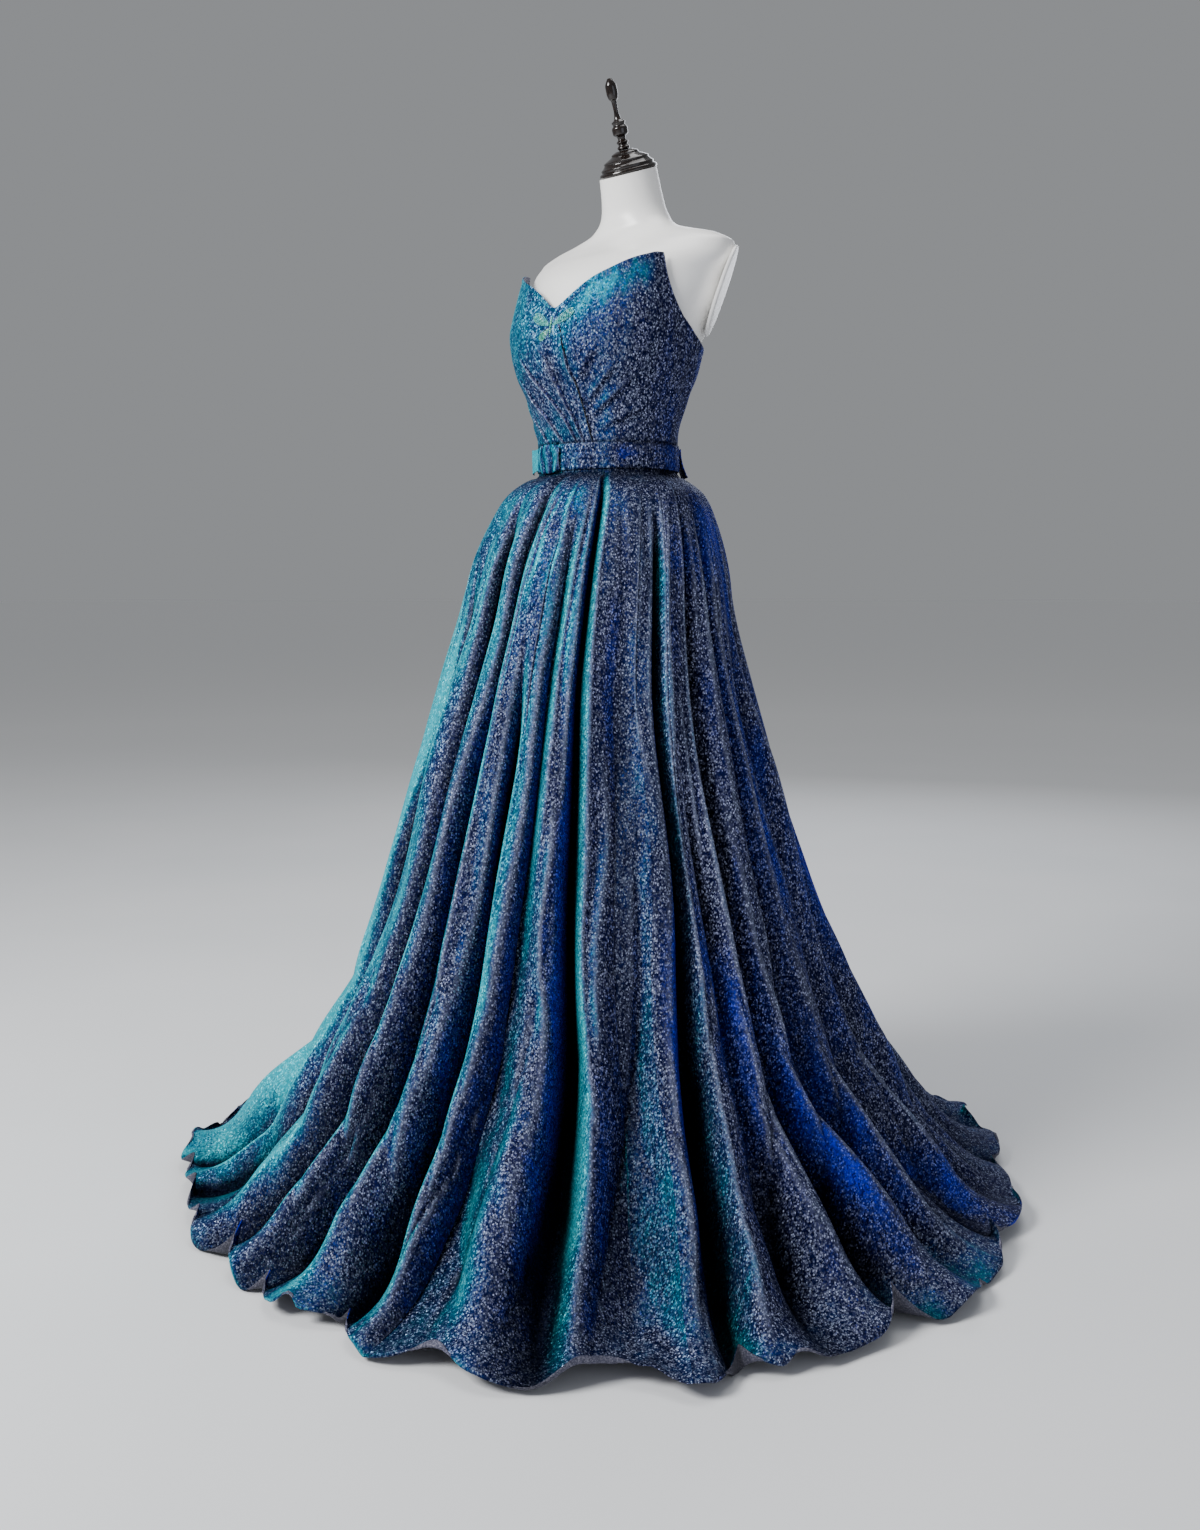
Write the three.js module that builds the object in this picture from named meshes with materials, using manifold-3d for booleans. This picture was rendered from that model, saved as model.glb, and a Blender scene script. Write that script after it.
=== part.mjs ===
// Strapless evening dress on a limbless dress form.
// Millimetres, +Z up, the wearer's front faces -Y and the wearer's left is +X.
// Angles run round the body from the centre front (0) to the wearer's left (90).
import * as THREE from 'three';
import Module from 'manifold-3d';
import { mergeVertices } from 'three/addons/utils/BufferGeometryUtils.js';

// ---- driving dimensions ----
const WALL = 2.0; // cloth wall
const SEAM = 0.3; // gap between neighbouring pieces
const WAIST_SEAM = 1172; // height where bodice and skirt are joined
const BELT_BOTTOM = 1152;
const BELT_TOP = 1191;
const BELT_SIDE = 121.9; // half width over the belt
const BELT_DEEP = 102.1; // half depth over the belt
const NECK_TOP = 1618; // height of the centre of the neck's slanted top
const NECK_BACK = 50; // that centre lies this far behind the waist's axis
const NECK_LEAN = THREE.MathUtils.degToRad(20);
const POLE_RADIUS = 15;
const BASE_RADIUS = 170;
const BASE_EDGE = 12;
const BASE_BOSS = 30;
const FORM_BOTTOM = 826;

// Outside of the bodice: half width, front and back depth, squareness of the oval.
const BODICE_SECTIONS = [
  { z: 1150, side: 118, front: 97, back: 95, square: 2.1 },
  { z: 1172, side: 117, front: 97, back: 95, square: 2.1 },
  { z: 1205, side: 118, front: 98, back: 96, square: 2.1 },
  { z: 1268, side: 133, front: 112, back: 111, square: 2.2 },
  { z: 1300, side: 146, front: 124, back: 118, square: 2.3 },
  { z: 1333, side: 153, front: 131, back: 122, square: 2.4 },
  { z: 1365, side: 156, front: 127, back: 123, square: 2.6 },
  { z: 1390, side: 154, front: 119, back: 120, square: 2.65 },
  { z: 1425, side: 149, front: 108.5, back: 112, square: 2.6 },
  { z: 1470, side: 142, front: 96, back: 104, square: 2.4 },
];

// Height of the top edge round the body, the same on both sides.
const NECKLINE = [
  { angle: 0, z: 1390 }, { angle: 4, z: 1402 }, { angle: 10, z: 1416 },
  { angle: 19, z: 1430 }, { angle: 32, z: 1442 }, { angle: 47, z: 1454 },
  { angle: 60, z: 1461 }, { angle: 70, z: 1465 }, { angle: 75, z: 1465 },
  { angle: 78, z: 1437 }, { angle: 82, z: 1411 }, { angle: 87, z: 1386 },
  { angle: 92, z: 1364 }, { angle: 100, z: 1350 }, { angle: 115, z: 1339 },
  { angle: 140, z: 1335 }, { angle: 180, z: 1334 },
];

// Columns of the draped right front: where each meets the neckline and the waist,
// and how far the cloth stands up there. Each pleat rises at its edge and runs out flat.
const DRAPED_COLUMNS = [
  { top: 0, waist: 26, raise: 0 }, { top: -3, waist: 24.4, raise: 2.2 },
  { top: -9, waist: 20, raise: 1 }, { top: -12, waist: 17.6, raise: 0 },
  { top: -14.5, waist: 16, raise: 2.8 }, { top: -28, waist: 13.9, raise: 1.2 },
  { top: -42, waist: 12.4, raise: 0 }, { top: -45, waist: 10.8, raise: 2.8 },
  { top: -55, waist: 5, raise: 1.4 }, { top: -64, waist: -3, raise: 0 },
  { top: -68, waist: -5.4, raise: 2.6 }, { top: -72, waist: -14, raise: 1.6 },
  { top: -75, waist: -24, raise: 1 }, { top: -78, waist: -38, raise: 0.6 },
  { top: -82, waist: -54, raise: 0.3 }, { top: -87, waist: -72, raise: 0 },
  { top: -92, waist: -92, raise: 0 },
];

// Columns of the plain left front; soft drag lines run out of the waist.
const CUP_COLUMNS = [
  { top: 0, waist: 26, raise: 0 }, { top: 4, waist: 30, raise: 1.2 },
  { top: 10, waist: 34, raise: 0.2 }, { top: 19, waist: 39, raise: 1.4 },
  { top: 32, waist: 45, raise: 0.2 }, { top: 47, waist: 52, raise: 1 },
  { top: 60, waist: 60, raise: 0 }, { top: 70, waist: 68, raise: 0 },
  { top: 75, waist: 74, raise: 0 }, { top: 78, waist: 79, raise: 0 },
  { top: 82, waist: 83, raise: 0 }, { top: 87, waist: 88, raise: 0 },
  { top: 92, waist: 92, raise: 0 },
];

// Columns of each half of the back, from the side seam to the centre back.
const BACK_COLUMNS = [92, 100, 112, 126, 140, 160, 180]
  .map((angle) => ({ top: angle, waist: angle, raise: 0 }));
const BODICE_ROWS = [0, 0.08, 0.18, 0.3, 0.42, 0.54, 0.66, 0.78, 0.9, 1];
const PLEATS_FADE_FROM = 0.42; // pleats run out flat between these shares of the height
const PLEATS_FADE_TO = 0.68;
const PLEATS_CLEAR_BELT = 30; // height above the belt where pleats reach their full rise

// The belt's ring and the patches of cloth on it: how far each stands off and swells or flares.
const BELT_STEPS = { round: 48, down: 3 };
const BELT_CREASE = 0.35;
const BELT_LOOP = {
  angles: [-31, -3], heights: [1195, 1148], off: 0.4, swell: 2.4, gathers: 4, ridge: 0.6,
};
const BELT_END_FRONT = { angles: [-31.4, -66], heights: [1189, 1153], off: 0.2, flare: 9 };
const BELT_END_BACK = { angles: [128, 146], heights: [1189, 1143], off: 0.2, flare: 12 };

// Skirt: the floor of its folds at each height (half width, half depth, how far its
// middle lies in front of the waist's), and how high the folds stand on it.
const SKIRT_SECTIONS = [
  { z: 1171.7, side: 117, deep: 96.5, ahead: 0, fold: 0 },
  { z: 1146, side: 118.5, deep: 98.5, ahead: 0, fold: 0.3 },
  { z: 1136, side: 131, deep: 113, ahead: 4, fold: 2 },
  { z: 1110, side: 160, deep: 137, ahead: 8, fold: 5 },
  { z: 1065, side: 178, deep: 157, ahead: 14, fold: 9 },
  { z: 1000, side: 193, deep: 177, ahead: 21, fold: 15 },
  { z: 920, side: 206, deep: 195, ahead: 26, fold: 20 },
  { z: 823, side: 223, deep: 220, ahead: 29, fold: 26 },
  { z: 693, side: 255, deep: 255, ahead: 30, fold: 33 },
  { z: 560, side: 289, deep: 289, ahead: 30, fold: 40 },
  { z: 426, side: 327, deep: 327, ahead: 30, fold: 47 },
  { z: 290, side: 374, deep: 374, ahead: 30, fold: 54 },
  { z: 190, side: 426, deep: 426, ahead: 29, fold: 60 },
  { z: 110, side: 484, deep: 484, ahead: 27, fold: 60 },
  { z: 50, side: 546, deep: 546, ahead: 24, fold: 54 },
  { z: 14, side: 606, deep: 606, ahead: 21, fold: 46 },
  { z: 2, side: 658, deep: 658, ahead: 20, fold: 38 },
];

// Valleys between the skirt's folds: their angle at the waist, half way down and at the
// hem, depth against the skirt's fold height, the height where each begins, and how far
// the hem runs out on the floor there.
const VALLEYS = [
  { waist: -46, middle: -44, hem: -45, depth: 0.8, from: 1150, reach: 15 },
  { waist: -31, middle: -30, hem: -33, depth: 0.6, from: 900, reach: 0 },
  { waist: -17, middle: -9, hem: -18, depth: 0.9, from: 1130, reach: -5 },
  { waist: 9, middle: 2, hem: -5, depth: 0.9, from: 1150, reach: -20 },
  { waist: 19, middle: 13.5, hem: 8, depth: 1.25, from: 880, reach: -40 },
  { waist: 28, middle: 24.5, hem: 17, depth: 1, from: 1000, reach: 0 },
  { waist: 34.8, middle: 35.5, hem: 35.5, depth: 1.3, from: 1172, reach: 20 },
  { waist: 50, middle: 48, hem: 45, depth: 0.4, from: 820, reach: -35 },
  { waist: 65, middle: 62, hem: 57, depth: 0.9, from: 1120, reach: 20 },
  { waist: 72, middle: 70, hem: 69.5, depth: 0.8, from: 500, reach: 0 },
  { waist: 80, middle: 76, hem: 83, depth: 0.9, from: 1080, reach: -5 },
  { waist: 96, middle: 91, hem: 94, depth: 0.8, from: 1100, reach: 10 },
  { waist: 108, middle: 105, hem: 106, depth: 0.7, from: 950, reach: 0 },
  { waist: 120, middle: 119, hem: 118, depth: 0.8, from: 1130, reach: 5 },
  { waist: 133, middle: 133, hem: 132, depth: 0.7, from: 980, reach: 5 },
  { waist: 146, middle: 146, hem: 145, depth: 0.9, from: 1140, reach: 20 },
  { waist: 158, middle: 160, hem: 157, depth: 0.7, from: 900, reach: 38 },
  { waist: 171, middle: 172, hem: 170, depth: 1, from: 1150, reach: 50 },
  { waist: 184, middle: 184, hem: 184, depth: 0.8, from: 1000, reach: 60 },
  { waist: 197, middle: 196, hem: 198, depth: 0.9, from: 1130, reach: 60 },
  { waist: 210, middle: 208, hem: 210, depth: 0.7, from: 940, reach: 55 },
  { waist: 222, middle: 221, hem: 222, depth: 0.9, from: 1150, reach: 45 },
  { waist: 235, middle: 234, hem: 236, depth: 0.8, from: 1000, reach: 35 },
  { waist: 248, middle: 247, hem: 249, depth: 0.9, from: 1120, reach: 35 },
  { waist: 260, middle: 260, hem: 262, depth: 0.7, from: 920, reach: 40 },
  { waist: 273, middle: 273, hem: 274, depth: 0.9, from: 1100, reach: 45 },
  { waist: 287, middle: 287, hem: 287, depth: 0.8, from: 980, reach: 40 },
  { waist: 301, middle: 302, hem: 300, depth: 0.9, from: 1130, reach: 30 },
];
const FOLD_STEPS = [0, 0.17, 0.38, 0.62, 0.83]; // columns across one fold
const VALLEY_NARROWNESS = 4; // power of the cosine between two folds
const VALLEY_GROWS_OVER = 260; // height that a valley takes to reach its depth
const HEM_FROM = 0.55; // share of the skirt's rows where the hem's reach sets in

// Skirt panels as stretches of valleys, counted from the first row of the table.
const SKIRT_PANELS = [
  { name: 'skirt_side_front_right', first: -2, last: 2 },
  { name: 'skirt_front_centre', first: 2, last: 7 },
  { name: 'skirt_side_front_left', first: 7, last: 12 },
  { name: 'skirt_back_left', first: 12, last: 17 },
  { name: 'skirt_back_right', first: 17, last: 22 },
  { name: 'skirt_side_back_right', first: 22, last: 26 },
];
const PANEL_SEAM_AT = 0.5; // a seam runs down the middle of a fold

// Dress form: half width, front and back depth, middle behind the waist's axis,
// how far the ends are swept back, squareness.
const FORM_SECTIONS = [
  { z: 826, side: 150, front: 98, back: 108, behind: 0, sweep: 0, square: 2.1 },
  { z: 834, side: 162, front: 106, back: 118, behind: 0, sweep: 0, square: 2.1 },
  { z: 900, side: 171, front: 112, back: 124, behind: 0, sweep: 0, square: 2.1 },
  { z: 980, side: 166, front: 110, back: 122, behind: 0, sweep: 0, square: 2.1 },
  { z: 1060, side: 144, front: 101, back: 108, behind: 0, sweep: 0, square: 2.1 },
  { z: 1120, side: 120, front: 93, back: 95, behind: 0, sweep: 0, square: 2.1 },
  { z: 1172, side: 112.5, front: 92, back: 90, behind: 0, sweep: 0, square: 2.1 },
  { z: 1205, side: 113.5, front: 93, back: 91, behind: 0, sweep: 0, square: 2.1 },
  { z: 1268, side: 128, front: 106, back: 103, behind: 0, sweep: 0, square: 2.2 },
  { z: 1300, side: 139, front: 117, back: 109, behind: 0, sweep: 0, square: 2.3 },
  { z: 1333, side: 144, front: 122, back: 112, behind: 0, sweep: 0, square: 2.4 },
  { z: 1362, side: 149, front: 117, back: 113, behind: 0, sweep: 16, square: 2.6 },
  { z: 1384, side: 155, front: 108, back: 112, behind: 0, sweep: 48, square: 2.6 },
  { z: 1402, side: 164, front: 102, back: 110, behind: 0, sweep: 56, square: 2.6 },
  { z: 1440, side: 176, front: 92, back: 106, behind: 8, sweep: 52, square: 2.5 },
  { z: 1472, side: 190, front: 76, back: 96, behind: 24, sweep: 40, square: 2.4 },
  { z: 1492, side: 188, front: 60, back: 80, behind: 40, sweep: 22, square: 2.2 },
  { z: 1506, side: 164, front: 50, back: 68, behind: 52, sweep: 8, square: 2.1 },
  { z: 1518, side: 122, front: 46, back: 59, behind: 60, sweep: 2, square: 2 },
  { z: 1530, side: 84, front: 47, back: 54, behind: 66, sweep: 0, square: 2 },
  { z: 1546, side: 62, front: 48, back: 50, behind: 66, sweep: 0, square: 2 },
  { z: 1570, side: 52, front: 47, back: 47, behind: 61, sweep: 0, square: 2 },
  { z: 1612, side: 47, front: 46, back: 46, behind: 50, sweep: 0, square: 2 },
  { z: 1650, side: 45, front: 45, back: 45, behind: 40, sweep: 0, square: 2 },
];
const FORM_SIDES = 40;
const ARM_CUT_AT = new THREE.Vector3(166, 66, 1412); // middle of the left arm's flat cut
const ARM_CUT_FACES = new THREE.Vector3(0.79, 0.51, -0.33).normalize();
const ARM_PLATE = { high: 70, wide: 40, thick: 5, above: 9 }; // half sizes, rise of its middle

// Turned profiles: distance along the axis and radius.
const CAP_PROFILE = [
  { at: 0.3, r: 44 }, { at: 3, r: 46 }, { at: 6, r: 45 }, { at: 8, r: 41.5 },
  { at: 11, r: 42 }, { at: 14, r: 38.5 }, { at: 18, r: 35.5 }, { at: 20, r: 36 },
  { at: 24, r: 29 }, { at: 28, r: 21.5 }, { at: 30, r: 21.5 }, { at: 34, r: 13 },
];
const FINIAL_PROFILE = [
  { at: 34.3, r: 7.5 }, { at: 38, r: 10 }, { at: 42, r: 7 }, { at: 46, r: 9.4 },
  { at: 50, r: 6 }, { at: 54, r: 7 }, { at: 58, r: 12 }, { at: 66, r: 12.4 },
  { at: 71, r: 9 }, { at: 75, r: 11 }, { at: 79, r: 6 }, { at: 91, r: 3.6 },
  { at: 105, r: 4.2 }, { at: 109, r: 7.2 }, { at: 117, r: 9 }, { at: 127, r: 8.8 },
  { at: 133, r: 6.4 }, { at: 138, r: 3 },
];
const BASE_PROFILE = [
  { at: 0, r: BASE_RADIUS - 2 }, { at: BASE_EDGE - 2, r: BASE_RADIUS },
  { at: BASE_EDGE, r: BASE_RADIUS - 6 }, { at: BASE_EDGE + 5, r: 60 },
  { at: BASE_BOSS - 4, r: 30 }, { at: BASE_BOSS, r: 26 },
];
const POLE_PROFILE = [
  { at: BASE_BOSS + SEAM, r: POLE_RADIUS }, { at: FORM_BOTTOM - 14, r: POLE_RADIUS },
  { at: FORM_BOTTOM - 10, r: 34 }, { at: FORM_BOTTOM - SEAM, r: 34 },
];
const TURNED_SIDES = 16;

// Butterfly: middle on the centre front, wings from the body outwards and up or down.
const BUTTERFLY_HEIGHT = 1361;
const BUTTERFLY_BODY = { long: 15, wide: 2.6, thick: 3.4 };
const WINGS = [
  { name: 'upper', root: [4, 3], tip: [41, 22], half: 8.5, thick: 1.8 },
  { name: 'lower', root: [4, -3], tip: [21, -17], half: 6.5, thick: 1.8 },
];
const WING_SIDES = 14;

const COLOURS = {
  cloth: '#33507f', satin: '#1f8f9f', form: '#eceae6', turned: '#2a1d16',
  steel: '#3c3d40', wing: '#8fd8b4',
};

// ---- helpers ----
const wasm = await Module();
wasm.setup();

const rad = THREE.MathUtils.degToRad;

// Value of a table at a place, on straight lines between its rows.
function interpolate(table, key, at, value) {
  const next = table.findIndex((row) => row[key] >= at);
  if (next === 0) return table[0][value];
  if (next < 0) return table[table.length - 1][value];
  const [low, high] = [table[next - 1], table[next]];
  return THREE.MathUtils.mapLinear(at, low[key], high[key], low[value], high[value]);
}

// Point of an oval whose squareness 2 is an ellipse; more is squarer.
function ovalPoint(angle, side, front, back, square) {
  const power = 2 / square;
  const across = Math.sin(angle);
  const along = Math.cos(angle);
  const x = side * Math.sign(across) * Math.abs(across) ** power;
  const y = (along > 0 ? front : back) * -Math.sign(along) * Math.abs(along) ** power;
  return new THREE.Vector2(x, y);
}

function normalOf(surface, u, v, stepU, stepV) {
  const alongU = surface(u + stepU, v).sub(surface(u - stepU, v));
  const alongV = surface(u, v + stepV).sub(surface(u, v - stepV));
  return alongU.cross(alongV).normalize();
}

function meshFrom(name, points, faces, material) {
  const geometry = new THREE.BufferGeometry();
  const positions = points.flatMap((p) => [p.x, p.y, p.z]);
  geometry.setAttribute('position', new THREE.Float32BufferAttribute(positions, 3));
  geometry.setIndex(faces.flat());
  geometry.computeVertexNormals();
  const mesh = new THREE.Mesh(geometry, material);
  mesh.name = name;
  return mesh;
}

function volumeOf(points, faces) {
  return faces.reduce((sum, [a, b, c]) => {
    const cross = new THREE.Vector3().crossVectors(points[b], points[c]);
    return sum + points[a].dot(cross) / 6;
  }, 0);
}

// Closed solid from any set of faces that all turn the same way.
function solid(name, points, faces, material) {
  const turned = volumeOf(points, faces) < 0 ? faces.map(([a, b, c]) => [a, c, b]) : faces;
  return meshFrom(name, points, turned, material);
}

// Cloth wall: outer[i][j] and inner[i][j] are the two sides of the cloth,
// i round the body and j down it. A ring joins its last column to its first.
function wall(name, outer, inner, material, ring = false) {
  const columns = outer.length;
  const rows = outer[0].length;
  const points = [...outer.flat(), ...inner.flat()];
  const out = (i, j) => (i % columns) * rows + j;
  const inn = (i, j) => columns * rows + out(i, j);
  const faces = [];
  const quad = (a, b, c, d) => faces.push([a, b, c], [a, c, d]);
  const lastColumn = ring ? columns : columns - 1;
  for (let i = 0; i < lastColumn; i += 1) {
    for (let j = 0; j < rows - 1; j += 1) {
      quad(out(i, j), out(i + 1, j), out(i + 1, j + 1), out(i, j + 1));
      quad(inn(i, j), inn(i, j + 1), inn(i + 1, j + 1), inn(i + 1, j));
    }
    quad(out(i, 0), inn(i, 0), inn(i + 1, 0), out(i + 1, 0));
    quad(out(i, rows - 1), out(i + 1, rows - 1), inn(i + 1, rows - 1), inn(i, rows - 1));
  }
  for (let j = 0; j < rows - 1 && !ring; j += 1) {
    const end = columns - 1;
    quad(out(0, j), out(0, j + 1), inn(0, j + 1), inn(0, j));
    quad(out(end, j), inn(end, j), inn(end, j + 1), out(end, j + 1));
  }
  return solid(name, points, faces, material);
}

// Solid through closed rings of equal size, with flat ends.
function loft(name, rings, material) {
  const count = rings[0].length;
  const points = rings.flat();
  const faces = [];
  for (let i = 0; i < rings.length - 1; i += 1) {
    for (let k = 0; k < count; k += 1) {
      const a = i * count + k;
      const b = i * count + ((k + 1) % count);
      faces.push([a, b, b + count], [a, b + count, a + count]);
    }
  }
  const cap = (start, flip) => {
    const middle = points.length;
    const sum = new THREE.Vector3();
    for (let k = 0; k < count; k += 1) sum.add(points[start + k]);
    points.push(sum.divideScalar(count));
    for (let k = 0; k < count; k += 1) {
      const next = start + ((k + 1) % count);
      faces.push(flip ? [middle, next, start + k] : [middle, start + k, next]);
    }
  };
  cap(0, true);
  cap((rings.length - 1) * count, false);
  return solid(name, points, faces, material);
}

function toManifold(mesh) {
  const bare = mesh.geometry.clone();
  bare.deleteAttribute('normal');
  const merged = mergeVertices(bare);
  return new wasm.Manifold(new wasm.Mesh({
    numProp: 3,
    vertProperties: new Float32Array(merged.attributes.position.array),
    triVerts: new Uint32Array(merged.index.array),
  }));
}

function fromManifold(name, manifold, material) {
  const { vertProperties, triVerts } = manifold.getMesh();
  const geometry = new THREE.BufferGeometry();
  geometry.setAttribute('position', new THREE.Float32BufferAttribute(vertProperties, 3));
  geometry.setIndex([...triVerts]);
  geometry.computeVertexNormals();
  const mesh = new THREE.Mesh(geometry, material);
  mesh.name = name;
  return mesh;
}

function material(colour, roughness, metalness = 0) {
  return new THREE.MeshStandardMaterial({ color: colour, roughness, metalness });
}

const glitterCloth = material(COLOURS.cloth, 0.45, 0.3);
const satinCloth = material(COLOURS.satin, 0.35, 0.3);
const formShell = material(COLOURS.form, 0.35);
const turnedWood = material(COLOURS.turned, 0.2, 0.2);
const paintedSteel = material(COLOURS.steel, 0.4, 0.8);
const beading = material(COLOURS.wing, 0.3, 0.2);

// ---- bodice ----
function bodiceSurface(angle, z) {
  const at = (value) => interpolate(BODICE_SECTIONS, 'z', z, value);
  const p = ovalPoint(rad(angle), at('side'), at('front'), at('back'), at('square'));
  return new THREE.Vector3(p.x, p.y, z);
}

function bodiceNormal(angle, z) {
  const normal = normalOf(bodiceSurface, angle, z, 0.5, 2);
  const outward = bodiceSurface(angle, z).setZ(0);
  return normal.dot(outward) < 0 ? normal.negate() : normal;
}

function necklineHeight(angle) {
  return interpolate(NECKLINE, 'angle', Math.abs(angle), 'z');
}

// One panel from its columns; side is -1 for a mirrored copy of the table.
function bodicePanel(name, columns, side = 1) {
  const outer = [];
  const inner = [];
  const last = columns.length - 1;
  const turn = Math.sign(columns[last].waist - columns[0].waist);
  const inset = turn * THREE.MathUtils.radToDeg(SEAM / 2 / BODICE_SECTIONS[1].front);
  columns.forEach((column, i) => {
    const shift = inset * ((i === 0 ? 1 : 0) - (i === last ? 1 : 0));
    const top = necklineHeight(column.top);
    const outColumn = [];
    const inColumn = [];
    BODICE_ROWS.forEach((share) => {
      const angle = side * (THREE.MathUtils.lerp(column.waist, column.top, share) + shift);
      const z = THREE.MathUtils.lerp(WAIST_SEAM, top, share);
      const fade = 1 - THREE.MathUtils.smoothstep(share, PLEATS_FADE_FROM, PLEATS_FADE_TO);
      const rise = THREE.MathUtils.smoothstep(z, BELT_TOP, BELT_TOP + PLEATS_CLEAR_BELT);
      const normal = bodiceNormal(angle, z);
      const point = bodiceSurface(angle, z).addScaledVector(normal, column.raise * fade * rise);
      outColumn.push(point);
      inColumn.push(point.clone().addScaledVector(normal, -WALL));
    });
    outer.push(outColumn);
    inner.push(inColumn);
  });
  return wall(name, outer, inner, glitterCloth);
}

function buildBodice() {
  return [
    bodicePanel('bodice_front_right', DRAPED_COLUMNS),
    bodicePanel('bodice_front_left', CUP_COLUMNS),
    bodicePanel('bodice_back_left', BACK_COLUMNS),
    bodicePanel('bodice_back_right', BACK_COLUMNS, -1),
  ];
}

// ---- skirt ----
function valley(index) {
  const count = VALLEYS.length;
  const turns = Math.floor(index / count);
  const row = VALLEYS[index - turns * count];
  const shift = turns * 360;
  return {
    ...row, waist: row.waist + shift, middle: row.middle + shift, hem: row.hem + shift,
  };
}

// Angle of a valley where v runs from 0 at the waist to 1 at the hem.
function valleyAngle(row, v) {
  const bend = row.middle - (row.waist + row.hem) / 2;
  return THREE.MathUtils.lerp(row.waist, row.hem, v) + 4 * bend * v * (1 - v);
}

function skirtRow(v) {
  const place = THREE.MathUtils.clamp(v, 0, 1) * (SKIRT_SECTIONS.length - 1);
  const index = Math.min(Math.floor(place), SKIRT_SECTIONS.length - 2);
  const [a, b] = [SKIRT_SECTIONS[index], SKIRT_SECTIONS[index + 1]];
  return Object.fromEntries(Object.keys(a)
    .map((key) => [key, THREE.MathUtils.lerp(a[key], b[key], place - index)]));
}

// Direction in which folds stand off the skirt's profile: outward, then upward at the hem.
function foldDirection(v) {
  const step = 0.5 / (SKIRT_SECTIONS.length - 1);
  const above = skirtRow(v - step);
  const below = skirtRow(v + step);
  const run = (below.side + below.deep - above.side - above.deep) / 2;
  const drop = above.z - below.z;
  const length = Math.hypot(run, drop);
  return { out: drop / length, up: run / length };
}

// Share of the valley's depth that it has at a height.
function valleyDepth(row, z) {
  return row.depth * THREE.MathUtils.smoothstep(row.from + 20 - z, 0, VALLEY_GROWS_OVER);
}

// The skirt's outside: u counts valleys (whole numbers) and the folds between them.
function skirtSurface(u, v) {
  const index = Math.floor(u);
  const across = u - index;
  const [left, right] = [valley(index), valley(index + 1)];
  const row = skirtRow(v);
  const angle = rad(THREE.MathUtils.lerp(valleyAngle(left, v), valleyAngle(right, v), across));
  const nearest = across < 0.5 ? left : right;
  const dip = Math.abs(Math.cos(Math.PI * across)) ** VALLEY_NARROWNESS;
  const height = row.fold * (1 - dip * valleyDepth(nearest, row.z));
  const turn = (1 - Math.cos(Math.PI * across)) / 2;
  const reach = THREE.MathUtils.lerp(left.reach, right.reach, turn)
    * THREE.MathUtils.smoothstep(v, HEM_FROM, 1);
  const off = foldDirection(v);
  const out = height * off.out + reach;
  return new THREE.Vector3(
    (row.side + out) * Math.sin(angle),
    -row.ahead - (row.deep + out) * Math.cos(angle),
    Math.max(row.z + height * off.up, WALL),
  );
}

function skirtNormal(u, v) {
  const normal = normalOf(skirtSurface, u, THREE.MathUtils.clamp(v, 0.01, 0.99), 0.02, 0.01);
  const p = skirtSurface(u, v);
  const outward = new THREE.Vector3(p.x, p.y, 0).normalize().setZ(1);
  return normal.dot(outward) < 0 ? normal.negate() : normal;
}

function skirtColumns(panel) {
  const columns = [];
  const last = panel.last + PANEL_SEAM_AT;
  for (let fold = panel.first; fold <= panel.last; fold += 1) {
    FOLD_STEPS.forEach((step) => columns.push(fold + step));
  }
  const inside = columns.filter((u) => u > panel.first + PANEL_SEAM_AT && u < last);
  return [panel.first + PANEL_SEAM_AT, ...inside, last];
}

function skirtPanel(panel) {
  const columns = skirtColumns(panel);
  const outer = [];
  const inner = [];
  columns.forEach((u, i) => {
    const outColumn = [];
    const inColumn = [];
    SKIRT_SECTIONS.forEach((section, j) => {
      const v = j / (SKIRT_SECTIONS.length - 1);
      const point = skirtSurface(u, v);
      const ends = (i === 0 ? 1 : 0) - (i === columns.length - 1 ? 1 : 0);
      const along = skirtSurface(u + 0.01, v).sub(skirtSurface(u - 0.01, v)).normalize();
      point.addScaledVector(along, (ends * SEAM) / 2);
      const inside = point.clone().addScaledVector(skirtNormal(u, v), -WALL);
      inside.z = Math.max(inside.z, 0);
      if (j === 0) inside.z = point.z;
      outColumn.push(point);
      inColumn.push(inside);
    });
    outer.push(outColumn);
    inner.push(inColumn);
  });
  return wall(panel.name, outer, inner, glitterCloth);
}

// ---- belt ----
function beltSurface(angle, z, off = 0) {
  return new THREE.Vector3(
    (BELT_SIDE + off) * Math.sin(rad(angle)),
    -(BELT_DEEP + off) * Math.cos(rad(angle)),
    z,
  );
}

// A patch of cloth that lies on the belt: off(a, b) is its distance from it.
function beltPatch(name, { angles, heights }, steps, off, cloth) {
  const outer = [];
  const inner = [];
  for (let i = 0; i <= steps.round; i += 1) {
    const a = i / steps.round;
    const angle = THREE.MathUtils.lerp(angles[0], angles[1], a);
    outer.push([]);
    inner.push([]);
    for (let j = 0; j <= steps.down; j += 1) {
      const b = j / steps.down;
      const z = THREE.MathUtils.lerp(heights[0], heights[1], b);
      outer[i].push(beltSurface(angle, z, SEAM + WALL + off(a, b)));
      inner[i].push(beltSurface(angle, z, SEAM + off(a, b)));
    }
  }
  return wall(name, outer, inner, cloth);
}

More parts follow.
